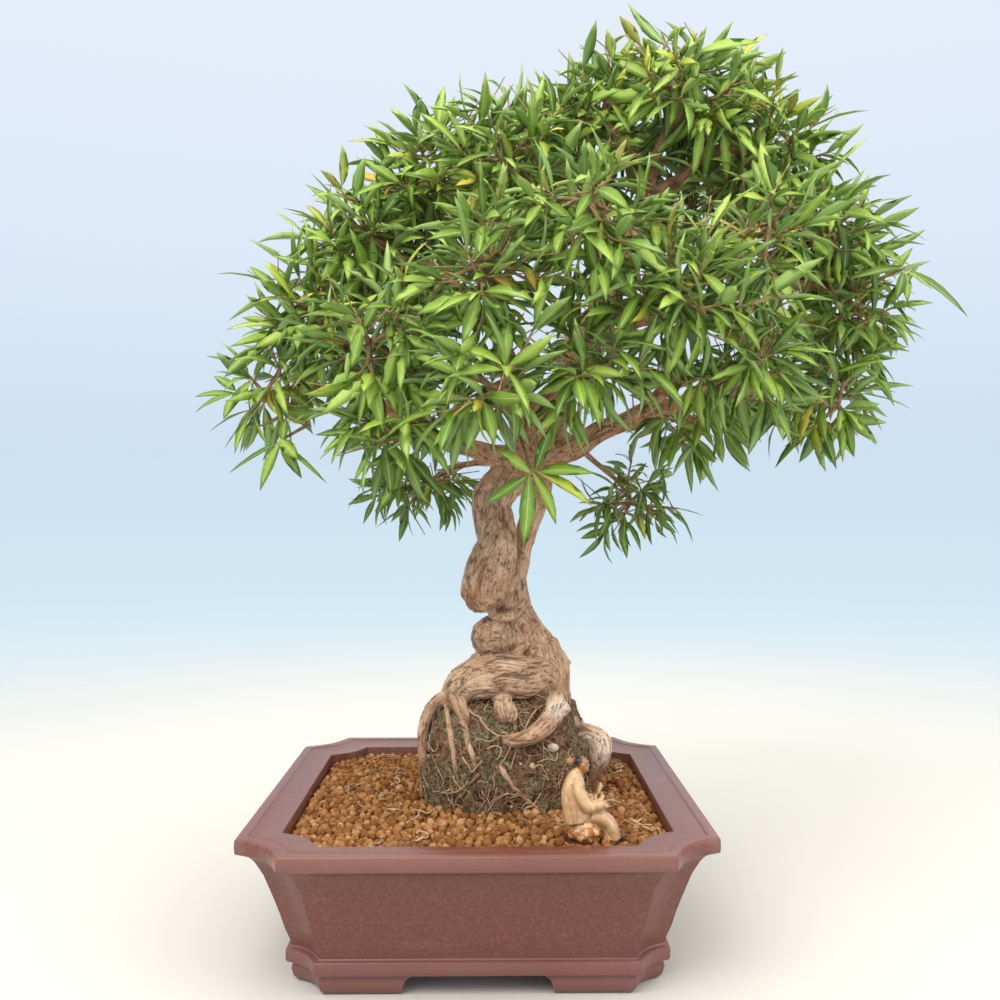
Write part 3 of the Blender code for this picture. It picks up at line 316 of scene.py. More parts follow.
FIGURE_PAIRS = (
    ("robe", ((-0.007, 0.006, 0.043, 0.0038), (-0.0035, 0.0088, 0.034, 0.0044),
        (0.0015, 0.0086, 0.0265, 0.0048), (0.0075, 0.0062, 0.0262, 0.0044),
        (0.0125, 0.0042, 0.0275, 0.0036))),
    ("robe", ((0.01, 0.0046, 0.0268, 0.0034), (0.014, 0.0036, 0.0252, 0.0024),
        (0.0172, 0.003, 0.0244, 0.0009))),
    ("robe", ((0.012, 0.004, 0.0296, 0.0016), (0.0132, 0.0038, 0.033, 0.0012))),
    ("skin", ((0.0108, 0.0032, 0.0288, 0.0018), (0.012, 0.0018, 0.0322, 0.0014))),
)
FIGURE_LUMPS = (
    ("skin", (-0.0015, 0, 0.0538), (0.0046, 0.0043, 0.0056)),
    ("skin", (0.0004, 0, 0.051), (0.003, 0.003, 0.0028)),
    ("skin", (0.003, 0, 0.0534), (0.0012, 0.0008, 0.0012)),
    ("skin", (0.0021, 0, 0.056), (0.0013, 0.0026, 0.0009)),
    ("skin", (0.0023, 0, 0.0494), (0.0012, 0.0014, 0.001)),
    ("skin", (0.0029, 0, 0.0515), (0.0006, 0.0011, 0.0005)),
    ("skin", (-0.0016, -0.0043, 0.0538), (0.0011, 0.0006, 0.0015)),
    ("skin", (-0.0016, 0.0043, 0.0538), (0.0011, 0.0006, 0.0015)),
    ("hair", (0.0026, -0.0015, 0.0548), (0.0006, 0.0008, 0.0003)),
    ("hair", (0.0026, 0.0015, 0.0548), (0.0006, 0.0008, 0.0003)),
    ("hair", (-0.0034, 0, 0.0556), (0.0033, 0.0041, 0.004)),
    ("skin", (-0.0106, 0, 0.0562), (0.0029, 0.0029, 0.0028)),
)
ROCK = ((0.0005, 0, 0.0062), (0.0128, 0.0108, 0.0098))
BOOK = ((0.0098, 0, 0.0352), (0.0009, 0.0040, 0.0052), math.radians(28))
BOX_FACES = ((0, 1, 3, 2), (4, 6, 7, 5), (0, 4, 5, 1), (2, 3, 7, 6), (0, 2, 6, 4), (1, 5, 7, 3))

# Crown: forks of the limbs, as (x, y, z, radius)
FORKS = {
    "crotch": (0.043, 0.0, 0.38, 0.013),
    "up_1": (0.067, 0.0, 0.435, 0.0115),
    "up_2": (0.088, 0.0, 0.481, 0.01),
    "up_3": (0.117, 0.004, 0.539, 0.008),
    "up_4": (0.142, 0.008, 0.606, 0.0062),
    "right_1": (0.092, -0.008, 0.397, 0.0092),
    "right_2": (0.134, -0.004, 0.421, 0.0072),
    "high_right_1": (0.169, 0.01, 0.508, 0.0066),
    "high_right_2": (0.242, 0.004, 0.531, 0.0054),
    "middle_1": (0.033, -0.008, 0.425, 0.009),
    "middle_2": (0.021, -0.006, 0.479, 0.0078),
    "middle_3": (0.009, 0.0, 0.548, 0.0062),
    "left_1": (0.0, -0.006, 0.389, 0.0082),
    "left_2": (-0.041, -0.01, 0.405, 0.0068),
    "left_3": (-0.09, -0.012, 0.43, 0.0056),
    "front_1": (0.03, -0.056, 0.401, 0.0066),
    "back_1": (0.071, 0.06, 0.41, 0.007),
    "back_left_1": (0.017, 0.044, 0.378, 0.005),
}
LIMBS = (
    ("crotch", "up_1", "up_2", "up_3", "up_4"),
    ("crotch", "right_1", "right_2"),
    ("up_2", "high_right_1", "high_right_2"),
    ("crotch", "middle_1", "middle_2", "middle_3"),
    ("crotch", "left_1", "left_2", "left_3"),
    ("crotch", "front_1"),
    ("crotch", "back_1"),
    ("crotch", "back_left_1"),
)
LIMB_RISE = 0.10
# Each rounded lobe of leaves is (fork that carries it, centre, radii)
LOBES = {
    "top_right": ("up_4", (0.176, 0.0, 0.694), (0.063, 0.07, 0.05)),
    "top": ("up_4", (0.104, 0.03, 0.676), (0.061, 0.07, 0.052)),
    "upper_right": ("up_4", (0.248, 0.02, 0.647), (0.056, 0.065, 0.047)),
    "upper_left": ("middle_3", (0.025, -0.02, 0.624), (0.053, 0.065, 0.045)),
    "upper_left_outer": ("middle_3", (-0.047, 0.02, 0.626), (0.056, 0.065, 0.047)),
    "left_upper": ("middle_2", (-0.102, 0.0, 0.566), (0.05, 0.06, 0.046)),
    "left": ("left_3", (-0.138, -0.02, 0.5), (0.045, 0.06, 0.041)),
    "left_low": ("left_3", (-0.177, -0.01, 0.434), (0.045, 0.055, 0.037)),
    "left_front": ("left_2", (-0.078, -0.11, 0.46), (0.047, 0.055, 0.043)),
    "front_left_low": ("left_2", (-0.059, -0.09, 0.394), (0.045, 0.055, 0.033)),
    "centre_front": ("middle_2", (0.001, -0.13, 0.512), (0.049, 0.055, 0.046)),
    "centre_front_low": ("front_1", (0.015, -0.15, 0.422), (0.041, 0.05, 0.034)),
    "front_mid": ("up_3", (0.078, -0.135, 0.556), (0.049, 0.055, 0.042)),
    "front_right": ("up_2", (0.142, -0.13, 0.487), (0.053, 0.06, 0.042)),
    "centre": ("front_1", (0.082, -0.1, 0.438), (0.042, 0.045, 0.034)),
    "right_front": ("high_right_1", (0.214, -0.1, 0.548), (0.048, 0.06, 0.044)),
    "right_front_low": ("right_2", (0.209, -0.09, 0.443), (0.052, 0.06, 0.041)),
    "right_upper": ("high_right_2", (0.294, 0.0, 0.574), (0.046, 0.06, 0.042)),
    "right": ("high_right_2", (0.323, 0.01, 0.506), (0.042, 0.06, 0.042)),
    "right_low": ("right_2", (0.3, 0.0, 0.426), (0.042, 0.055, 0.042)),
    "right_bottom": ("right_2", (0.185, 0.04, 0.417), (0.053, 0.055, 0.039)),
    "back_top": ("middle_3", (0.06, 0.125, 0.64), (0.06, 0.06, 0.052)),
    "back_right": ("up_3", (0.205, 0.125, 0.61), (0.065, 0.06, 0.058)),
    "back_left": ("middle_2", (-0.058, 0.115, 0.54), (0.062, 0.06, 0.056)),
    "back_low": ("back_1", (0.105, 0.15, 0.49), (0.065, 0.055, 0.052)),
    "back_right_low": ("high_right_1", (0.262, 0.115, 0.48), (0.057, 0.06, 0.05)),
    "hang_left": ("back_left_1", (-0.058, 0.11, 0.362), (0.052, 0.045, 0.03)),
    "hang_right": ("back_1", (0.141, 0.11, 0.345), (0.043, 0.045, 0.04)),
}
LOW_LOBE = 0.47
# Twig tips fill the outer part of the crown, where the lobes melt into their neighbours
CROWN_MIDDLE = np.array((0.080, 0.010, 0.470))
CROWN_EDGE = 0.95
# A lobe's core is in the crown by itself: the hanging lobes stand alone, so theirs is larger
LOBE_CORE = 0.62
HANGING_CORE = 0.95
LOBE_CENTRES = np.array([centre for _, centre, _ in LOBES.values()])
LOBE_RADII = np.array([radii for _, _, radii in LOBES.values()])
LOBE_CORES = np.array([HANGING_CORE if name.startswith("hang") else LOBE_CORE for name in LOBES])
SHELL_DEPTH = 0.055
DEEP_SHARE = 0.12
TIP_TRIES = 60000
TIP_SPACING = 0.0235
# The crown's top slants up to the back, as seen from the camera's place
TOP_SLOPE = 0.497
MAIN_TWIGS = 7
BARE_TWIGS = 2
# A bud's (distance past the tip, radius)
BUD_ROWS = ((-0.001, 0.0010), (0.002, 0.0009), (0.006, 0.0002))
# The hanging lobes have smaller leaves, darker with painted shade, and thinner limbs
HANGING_SIZE = 0.78
HANGING_SHADE = 0.25
HANGING_LIMB = 0.55
LEAVES_ON_TWIG = (6, 9)
LEAF_LENGTH = (0.032, 0.052)
LEAF_WIDTH = (0.0072, 0.0112)
LEAF_KEEL = 0.00035
# A leaf's outline: share of its length, and share of its half width. It starts with its stalk
LEAF_ROWS = (
    (0.0, 0.07), (0.07, 0.08), (0.17, 0.5), (0.33, 0.9), (0.52, 1.0), (0.76, 0.62), (1.0, 0.0),
)
LEAF_COLUMNS = (-1.0, 0.0, 1.0)
# Leafy twig ends that stand out by themselves: start, end and leaves as (way to the tip, width, age)
TUFTS = {
    "centre_front_low": (
        ((0.03, -0.056, 0.401), (0.0383, -0.121, 0.3665), (((0.0415, -0.01, 0.006), 0.0112, 0.05),
            ((0.044, -0.014, -0.02), 0.0104, 0.8), ((0.0265, -0.004, -0.0395), 0.0092, 0.0),
            ((-0.001, -0.012, -0.053), 0.0122, 0.06), ((-0.0325, -0.01, -0.0215), 0.0098, 0.0),
            ((-0.026, -0.012, 0.019), 0.0096, 0.05), ((0.008, -0.022, 0.03), 0.0094, 0.04))),
    ),
    "front_left_low": (
        ((-0.059, -0.09, 0.4), (-0.0719, -0.1, 0.3899), (((0.0097, -0.006, -0.0409), 0.0125, 0.1),
            ((-0.0491, -0.012, 0.0134), 0.0095, 0.03), ((-0.0067, -0.01, 0.0305), 0.0095, 0.05),
            ((0.0432, -0.014, 0.0104), 0.0075, 0.02), ((-0.0216, -0.008, -0.0283), 0.006, 0.0))),
    ),
    "left_low": (
        ((-0.15, -0.02, 0.424), (-0.1936, -0.03, 0.4316), (((-0.0435, -0.004, 0.0056), 0.0062, 0.04),
            ((-0.0394, -0.01, -0.008), 0.005, 0.0), ((-0.0161, -0.008, 0.0161), 0.008, 0.02),
            ((-0.008, -0.012, -0.0185), 0.0074, 0.0), ((0.0145, -0.012, 0.0105), 0.0076, 0.05))),
        ((-0.14, -0.02, 0.408), (-0.1581, -0.035, 0.3949), (((-0.0467, -0.006, -0.0237), 0.0052, 0.0),
            ((-0.0217, -0.01, -0.0415), 0.0086, 0.02), ((0.0145, -0.012, -0.0173), 0.012, 0.22),
            ((0.0185, -0.006, -0.031), 0.0094, 0.0), ((0.04, -0.01, -0.03), 0.005, 0.0),
            ((0.0032, -0.006, 0.0197), 0.0088, 0.12))),
    ),
    "right": (
        ((0.305, -0.015, 0.52), (0.3358, -0.05, 0.5298), (((0.0528, -0.004, -0.0327), 0.0084, 0.06),
            ((-0.0479, -0.016, -0.009), 0.0078, 0.1), ((-0.0228, -0.012, 0.0113), 0.0094, 0.04),
            ((0.004, -0.006, -0.028), 0.0086, 0.0), ((-0.0066, -0.012, -0.0243), 0.0086, 0.0),
            ((0.027, 0.006, -0.013), 0.0046, 0.0))),
    ),
}


# Shapes


class Pile:
    """Points, faces and marks of many small shapes, made one object in the end."""

    def __init__(self):
        self.points = []
        self.faces = []
        self.marks = {}
        self.count = 0

    def add(self, points, faces, **marks):
        points = np.asarray(points, float).reshape(-1, 3)
        self.points.append(points)
        self.faces.extend([tuple(i + self.count for i in face) for face in faces])
        for name, value in marks.items():
            self.marks.setdefault(name, []).append(np.broadcast_to(np.float32(value), len(points)))
        self.count += len(points)

    def mesh(self, name, shift=POT_CENTRE):
        mesh = bpy.data.meshes.new(name)
        mesh.from_pydata(np.vstack(self.points) + shift, [], self.faces)
        return mesh

    def make(self, name, look, smooth=True):
        mesh = self.mesh(name)
        for mark, values in self.marks.items():
            mark_mesh(mesh, mark, np.concatenate(values))
        return add_piece(name, mesh, look, smooth)

    def melt(self, voxel, rounds):
        """One closed mesh around all the shapes, smoothed a little."""
        melted = link("melt", self.mesh("melt", 0.0))
        remesh = melted.modifiers.new("Remesh", "REMESH")
        remesh.mode = "VOXEL"
        remesh.voxel_size = voxel
        soften = melted.modifiers.new("Smooth", "SMOOTH")
        soften.factor = 0.5
        soften.iterations = rounds
        mesh = evaluated(melted)
        bpy.data.objects.remove(melted)
        return mesh


def link(name, data):
    """A new object in the scene."""
    obj = bpy.data.objects.new(name, data)
    bpy.context.scene.collection.objects.link(obj)
    return obj


def add_piece(name, mesh, look, smooth=True):
    """A new object that rides on the one body, with one material."""
    if smooth:
        mesh.shade_smooth()
    obj = link(name, mesh)
    obj.data.materials.append(look)
    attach(obj, "root")
    return obj


def evaluated(obj):
    """The object's mesh with its modifiers applied."""
    graph = bpy.context.evaluated_depsgraph_get()
    return bpy.data.meshes.new_from_object(obj.evaluated_get(graph))


def mark_mesh(mesh, name, values):
    kind = "FLOAT_VECTOR" if values.ndim == 2 else "FLOAT"
    layer = mesh.attributes.new(name, kind, "POINT")
    layer.data.foreach_set("vector" if values.ndim == 2 else "value", values.astype(np.float32).ravel())


def mesh_points(mesh):
    """The places of a mesh's points and the ways they face."""
    places, normals = np.empty((2, 3 * len(mesh.vertices)), np.float32)
    mesh.vertices.foreach_get("co", places)
    mesh.vertex_normals.foreach_get("vector", normals)
    return places.reshape(-1, 3).astype(float), normals.reshape(-1, 3)


def unit(vectors):
    vectors = np.asarray(vectors, float)
    return vectors / np.maximum(np.linalg.norm(vectors, axis=-1, keepdims=True), 1e-12)


def smooth_rows(rows, step):
    """Places and radii on a smooth curve through rows of (x, y, z, radius), about a step apart."""
    data = np.array(rows, float)
    padded = np.vstack([2 * data[0] - data[1], data, 2 * data[-1] - data[-2]])
    fine = []
    for i in range(len(data) - 1):
        p0, p1, p2, p3 = padded[i:i + 4]
        count = max(1, round(np.linalg.norm((p2 - p1)[:3]) / step))
        for k in range(count):
            t = k / count
            fine.append(0.5 * (2 * p1 + (p2 - p0) * t + (2 * p0 - 5 * p1 + 4 * p2 - p3) * t * t
                               + (3 * p1 - p0 - 3 * p2 + p3) * t ** 3))
    fine.append(data[-1])
    fine = np.array(fine)
    return fine[:, :3], np.maximum(fine[:, 3], 1e-5)


def path_frame(path):
    """Directions along a path and two across it, which turn as little as they can."""
    along = unit(np.gradient(path, axis=0))
    start = np.array((0.0, 0.0, 1.0)) if abs(along[0][2]) < 0.9 else np.array((1.0, 0.0, 0.0))
    across = [unit(start - along[0] * (start @ along[0]))]
    for way in along[1:]:
        across.append(unit(across[-1] - way * (across[-1] @ way)))
    across = np.array(across)
    return along, across, np.cross(along, across)


def tube_faces(rings, sides):
    """Faces of a tube's wall, whose points follow one another ring by ring."""
    faces = []
    for a in range(0, (rings - 1) * sides, sides):
        for i in range(sides):
            j = (i + 1) % sides
            faces.append((a + i, a + j, a + sides + j, a + sides + i))
    return faces


def sweep(path, radii, sides):
    """Points and faces of a closed round tube along a path."""
    _, across, third = path_frame(path)
    angles = np.arange(sides) * math.tau / sides
    cosines, sines = np.cos(angles)[None, :, None], np.sin(angles)[None, :, None]
    spokes = cosines * across[:, None] + sines * third[:, None]
    points = (path[:, None] + spokes * radii[:, None, None]).reshape(-1, 3)
    last = (len(path) - 1) * sides
    ends = [tuple(reversed(range(sides))), tuple(range(last, last + sides))]
    return points, tube_faces(len(path), sides) + ends


def ball(detail):
    """Points and faces of a unit icosphere."""
    shape = bmesh.new()
    bmesh.ops.create_icosphere(shape, subdivisions=detail, radius=1.0)
    points = np.array([vert.co for vert in shape.verts])
    faces = [tuple(vert.index for vert in face.verts) for face in shape.faces]
    shape.free()
    return points, faces


def noise_at(points, scale, seed=0.0):
    """Noise from -1 to 1 at each point."""
    shift = Vector((seed * 7.13, seed * 3.71, seed * 5.39))
    return np.array([noise.noise(Vector(point) * scale + shift) for point in points])


def scatter(rand, size=1.0):
    """A random vector, about as long as size."""
    return Vector([rand.gauss(0, size) for _ in range(3)])


def any_turn(rand):
    """A random rotation."""
    return np.array(Euler([rand.uniform(0, math.tau) for _ in range(3)]).to_matrix())


def inside_share(points, centre, radii):
    """1 deep in a soft-edged ellipsoid and 0 outside it."""
    away = np.linalg.norm((points - np.array(centre)) / np.array(radii), axis=1)
    return np.clip(1.5 * (1 - away), 0, 1)


# Materials: colours are screen values from 0 to 255, and noises and cells are so many to a metre


def paint(red, green, blue):
    """A colour as Blender takes it, from its screen values."""
    shares = [v / 255 for v in (red, green, blue)]
    return (*[s / 12.92 if s < 0.04045 else ((s + 0.055) / 1.055) ** 2.4 for s in shares], 1.0)


class Look:
    """A material whose nodes are added by short calls."""

    def __init__(self, name, roughness, specular=0.5):
        self.material = bpy.data.materials.new(name)
        self.material.use_nodes = True
        self.tree = self.material.node_tree
        self.shader = self.tree.nodes["Principled BSDF"]
        self.shader.inputs["Roughness"].default_value = roughness
        self.shader.inputs["Specular IOR Level"].default_value = specular
        self.place = self.tree.nodes.new("ShaderNodeTexCoord").outputs["Object"]

    def add(self, kind, inputs, **settings):
        """A new node, whose settings come first because they make its sockets."""
        made = self.tree.nodes.new(kind)
        for name, value in settings.items():
            setattr(made, name, value)
        for socket, value in inputs.items():
            self.feed(made.inputs[socket], value)
        return made

    def feed(self, socket, value):
        """Gives a socket another node's output, a colour's screen values or a number."""
        if isinstance(value, bpy.types.NodeSocket):
            self.tree.links.new(value, socket)
        elif socket.type == "RGBA":
            socket.default_value = paint(*value)
        else:
            socket.default_value = value

    def mark(self, name, output="Fac"):
        return self.add("ShaderNodeAttribute", {}, attribute_name=name).outputs[output]

    def noise(self, scale, detail=3.0, roughness=0.55, at=None):
        place = self.place if at is None else at
        inputs = {"Vector": place, "Scale": scale, "Detail": detail, "Roughness": roughness}
        return self.add("ShaderNodeTexNoise", inputs).outputs["Fac"]

    def cells(self, scale):
        return self.add("ShaderNodeTexVoronoi", {"Vector": self.place, "Scale": scale}).outputs["Distance"]

    def stretch(self, vector, factors):
        return self.add("ShaderNodeMapping", {"Vector": vector, "Scale": factors}).outputs["Vector"]

    def span(self, value, low, high):
        """0 below low and 1 above high, smooth between. It falls where low is above high."""
        rises = low < high
        inputs = {"Value": value, "From Min": min(low, high), "From Max": max(low, high),
                  "To Min": 0.0 if rises else 1.0, "To Max": 1.0 if rises else 0.0}
        return self.add("ShaderNodeMapRange", inputs, interpolation_type="SMOOTHSTEP").outputs["Result"]

    def calc(self, operation, first, second=0.0):
        return self.add("ShaderNodeMath", {0: first, 1: second}, operation=operation).outputs[0]

    def times(self, first, second):
        return self.calc("MULTIPLY", first, second)

    def plus(self, first, second):
        return self.calc("ADD", first, second)

    def off_middle(self, value):
        """How far a noise is from its middle value, so a low span of it draws thin lines."""
        return self.calc("ABSOLUTE", self.calc("SUBTRACT", value, 0.5))

    def blend(self, share, first, second):
        inputs = {0: share, 6: first, 7: second}
        return self.add("ShaderNodeMix", inputs, data_type="RGBA").outputs[2]

    def tones(self, value, low, high, first, second):
        """The first colour where the value is low, the second where it is high."""
        return self.blend(self.span(value, low, high), first, second)

    def over(self, base, colour, mask, share=None):
        """A colour over a base where the mask is 1, or only a share of it there."""
        return self.blend(mask if share is None else self.times(mask, share), base, colour)

    def finish(self, colour, height=None, depth=0.001, strength=1.0, roughness=None):
        self.feed(self.shader.inputs["Base Color"], colour)
        if roughness is not None:
            self.feed(self.shader.inputs["Roughness"], roughness)
        if height is not None:
            bump = self.add("ShaderNodeBump", {"Distance": depth, "Strength": strength, "Height": height})
            self.feed(self.shader.inputs["Normal"], bump.outputs["Normal"])
        return self.material


def clay_look():
    """Mark: inside is 1 on the rim's inner part and the inner wall, which are redder and darker: partly
    the clay's own colour, partly painted shade.
    """
    look = Look("pot_clay", 0.42)
    broad, fine = look.noise(9, 3, 0.5), look.noise(420, 5, 0.6)
    base = look.tones(broad, 0.35, 0.68, (116, 74, 66), (124, 82, 74))
    base = look.over(base, (113, 72, 64), look.span(fine, 0.45, 0.85))
    # Redder clay with painted shade, on the inner wall and the rim's inner part
    red = look.tones(fine, 0.4, 0.65, (96, 48, 36), (122, 70, 56))
    base = look.over(base, red, look.mark("inside"), 0.75)
    specks = look.span(look.cells(330), 0.16, 0.05)
    worn = look.span(look.noise(26, 5, 0.7), 0.55, 0.72)
    base = look.over(base, (190, 164, 154), look.times(specks, worn), 0.6)
    streaks = look.noise(60, 4, 0.6, look.stretch(look.place, (0.25, 0.25, 1.6)))
    base = look.over(base, (158, 124, 116), look.span(streaks, 0.58, 0.74), 0.22)
    roughness = look.plus(look.times(broad, 0.26), 0.24)
    height = look.plus(look.times(look.noise(420, 4, 0.6), 0.5), look.times(look.noise(60, 3), 0.5))
    return look.finish(base, height, 0.0005, 0.35, roughness)


def bark_look():
    """Fibrous bark, with painted shade in its grooves, fissures and pits and between its strands, and
    painted highlights on its raised fibres. Marks: grain is the place in the wood's own run, crack 0 in
    a groove, young how thin and red the limb, scar and pale the smooth red and the pale worn places."""
    look = Look("bark", 0.86, 0.25)
    run = look.stretch(look.mark("grain", "Vector"), (1.0, 1.0, 0.22))
    fibres, strands = look.noise(900, 6, 0.66, run), look.noise(400, 5, 0.62, run)
    blotch = look.noise(38, 4, 0.6)
    patches = look.span(look.noise(24, 5, 0.65), 0.52, 0.66)
    old = look.tones(blotch, 0.35, 0.65, (184, 144, 115), (214, 181, 150))
    old = look.over(old, (152, 106, 78), patches, 0.5)
    fresh = look.tones(blotch, 0.35, 0.65, (156, 114, 84), (188, 146, 112))
    base = look.over(old, fresh, look.mark("young"))
    smooth_red = look.tones(strands, 0.40, 0.62, (138, 92, 66), (178, 128, 96))
    base = look.over(base, smooth_red, look.mark("scar"))
    base = look.over(base, (246, 228, 208), look.mark("pale"), 0.85)
    # Darker between the strands and paler on the raised fibres, where the bump also lies low and high:
    # partly the grain's colour, partly painted shade and painted highlight
    base = look.over(base, (138, 94, 68), look.span(strands, 0.46, 0.30), 0.55)
    base = look.over(base, (222, 200, 174), look.span(fibres, 0.52, 0.72), 0.55)
    # Thin broken fissures, also cut into the bump, painted dark: painted shade in the fissures
    broken = look.span(look.noise(120, 3), 0.40, 0.58)
    thin = look.times(look.times(look.span(look.off_middle(strands), 0.028, 0.006), broken), 0.75)
    base = look.over(base, (92, 62, 46), thin)
    # Painted shade in the grooves between the plates
    base = look.over(base, (84, 56, 41), look.span(look.mark("crack"), 0.55, 0.05), 0.72)
    # Painted shade: dark spots for the shade inside small pits in the darker patches
    pits = look.span(look.cells(150), 0.16, 0.05)
    base = look.over(base, (62, 42, 32), look.times(pits, patches), 0.7)
    height = look.plus(strands, look.times(fibres, 0.8))
    height = look.calc("SUBTRACT", height, look.times(thin, 0.5))
    return look.finish(base, height, 0.0013, 0.9)


def leaf_look():
    """Marks: tint is the leaf's own shade, lowered for painted shade on the hanging lobes, age 1 where
    young, across and along the place on the blade, and under more than 0 below it."""
    look = Look("leaf", 0.40, 0.45)
    tint, age, along = look.mark("tint"), look.mark("age"), look.mark("along")
    across = look.calc("ABSOLUTE", look.mark("across"))
    base = look.tones(tint, 0.0, 0.75, (108, 148, 50), (152, 186, 68))
    base = look.over(base, (170, 200, 84), look.span(tint, 0.72, 1.0))
    # The darkest tints: a few leaves at random, and painted shade on the hanging lobes, whose tints are
    # lowered
    base = look.over(base, (80, 116, 42), look.span(tint, 0.16, 0.0))
    base = look.over(base, (202, 208, 60), age)
    base = look.over(base, (222, 176, 70), look.span(age, 0.80, 1.0))
    base = look.over(base, (76, 116, 32), look.span(look.noise(260, 3, 0.6), 0.45, 0.7), 0.15)
    slant = look.plus(look.times(along, 34.0), look.times(across, -7.0))
    veins = look.calc("ABSOLUTE", look.calc("SINE", look.times(slant, math.pi)))
    base = look.over(base, (150, 186, 104), look.span(veins, 0.22, 0.0), 0.20)
    base = look.over(base, (138, 170, 108), look.span(look.mark("under"), 0.02, 0.12), 0.55)
    base = look.over(base, (186, 204, 132), look.span(across, 0.10, 0.03), 0.75)
    base = look.over(base, (182, 204, 128), look.span(across, 0.90, 0.98), 0.30)
    base = look.over(base, (178, 176, 96), look.span(along, 0.09, 0.04))
    return look.finish(base, look.times(veins, -1.0), 0.0002, 0.4)


def twig_look():
    look = Look("twig_bark", 0.7, 0.3)
    base = look.tones(look.noise(180, 4), 0.4, 0.62, (136, 104, 72), (174, 142, 106))
    base = look.over(base, (150, 156, 70), look.mark("tint"))
    return look.finish(base, look.noise(900, 3), 0.0004, 0.5)


def soil_look():
    """Dark soil full of fine fibres. Mark: moss is how green it is."""
    look = Look("root_soil", 0.95, 0.15)
    crumbs = look.noise(330, 5, 0.7)
    base = look.tones(crumbs, 0.38, 0.66, (44, 28, 20), (136, 98, 74))
    for scale in (300, 520):
        line = look.off_middle(look.noise(scale, 2.5, 0.6))
        base = look.over(base, (186, 154, 122), look.span(line, 0.020, 0.004), 0.8)
    moss = look.times(look.mark("moss"), look.span(look.noise(240, 4, 0.65), 0.42, 0.60))
    green = look.tones(look.noise(500, 3), 0.4, 0.6, (78, 90, 56), (160, 164, 128))
    base = look.over(base, green, moss, 0.85)
    height = look.plus(crumbs, look.times(look.noise(1100, 3, 0.6), 0.5))
    return look.finish(base, height, 0.0026, 1.0)


def crumb_look(name, roughness, specular, dark, light, worn, patches, relief, vein=None):
    """A small rough thing. Mark: tint is how light it is. Patches are a noise's scale and detail and
    the span over which the worn colour shows, and relief a noise's scale and detail and its depth
    and strength."""
    look = Look(name, roughness, specular)
    base = look.blend(look.mark("tint"), dark, light)
    base = look.over(base, worn, look.span(look.noise(*patches[:2]), *patches[2:]))
    if vein:
        across = look.calc("ABSOLUTE", look.mark("across"))
        base = look.over(base, vein, look.span(across, 0.10, 0.03))
    return look.finish(base, look.noise(*relief[:2]), *relief[2:])


def moss_look():
    return crumb_look("moss", 0.9, 0.2, (60, 76, 40), (172, 176, 132), (84, 92, 62),
                      (300, 3, 0.45, 0.6), (2200, 2, 0.0003, 0.5))


def rootlet_look():
    return crumb_look("rootlets", 0.8, 0.3, (120, 82, 58), (214, 188, 150), (122, 86, 60),
                      (260, 4, 0.50, 0.68), (1400, 3, 0.0004, 0.6))


def stone_look():
    return crumb_look("pebbles", 0.8, 0.3, (150, 120, 86), (218, 204, 176), (140, 116, 86),
                      (500, 4, 0.5, 0.7), (1200, 4, 0.0005, 0.6))


def dry_leaf_look():
    return crumb_look("dry_leaf", 0.75, 0.3, (150, 104, 62), (216, 182, 130), (118, 76, 44),
                      (300, 4, 0.45, 0.7), (700, 3, 0.0004, 0.5), vein=(226, 200, 156))


def grit_look(name, shade):
    """Fired clay granules, darker by a share of painted shade for the bed seen between the granules.
    Mark: tint is the granule's own shade.
    """
    look = Look(name, 0.94, 0.15)
    tint = look.mark("tint")
    base = look.tones(tint, 0.0, 0.75, (124, 78, 42), (180, 128, 78))
    base = look.over(base, (206, 166, 118), look.span(tint, 0.80, 1.0))
    base = look.over(base, (140, 92, 50), look.span(look.noise(420, 5, 0.75), 0.44, 0.66))
    base = look.over(base, (216, 176, 118), look.span(look.noise(900, 3, 0.7), 0.58, 0.74))
    # Painted shade: the share shade darkens the colour, for the bed seen only between the granules
    base = look.blend(shade, base, (70, 42, 22))
    return look.finish(base, look.noise(700, 6, 0.75), 0.0014, 1.0)


def glaze_look():
    """Glazed clay, with painted shade in the robe's creases. Marks: skin, hair, dark, page and rock are
    the parts, and fold 0 in a crease.
    """
    look = Look("figure_glaze", 0.30)
    look.shader.inputs["Coat Weight"].default_value = 0.35
    base = look.tones(look.noise(130, 4, 0.6), 0.40, 0.64, (206, 172, 128), (184, 142, 98))
    # Painted shade: the robe is darker in its creases
    base = look.over(base, (148, 96, 54), look.span(look.mark("fold"), 0.35, 0.0), 0.4)
    rock = look.tones(look.noise(190, 4, 0.65), 0.44, 0.56, (174, 102, 52), (222, 186, 134))
    crackle = look.off_middle(look.noise(230, 3))
    rock = look.over(rock, (92, 48, 28), look.span(crackle, 0.03, 0.005), 0.8)
    parts = {"rock": rock, "skin": (158, 106, 64), "page": (186, 168, 132), "dark": (24, 24, 27),
             "hair": (24, 25, 30)}
    for part, colour in parts.items():
        base = look.over(base, colour, look.mark(part))
    return look.finish(base, look.noise(600, 3), 0.0003, 0.35)


def plastic_look():
    look = Look("mesh_plastic", 0.5)
    base = look.blend(look.noise(300, 3), (24, 24, 26), (48, 48, 50))
    return look.finish(base, look.noise(900, 2), 0.0002, 0.3)


# Pot


def square_ring(half, corner, height, bite=CORNER_BITE):
    """Points of a square outline whose cut corners curve inwards, counter-clockwise."""
    points = []
    start, end = Vector((half, half - corner, height)), Vector((half - corner, half, height))
    inward = Vector((-1, -1, 0)).normalized()
    for turn in range(4):
        spin = Matrix.Rotation(turn * math.pi / 2, 3, "Z")
        for k in range(CORNER_POINTS + 2):
            t = k / (CORNER_POINTS + 1)
            bend = bite * (corner / CORNER_FULL) * math.sin(math.pi * t)
            points.append(spin @ (start.lerp(end, t) + inward * bend))
    return points


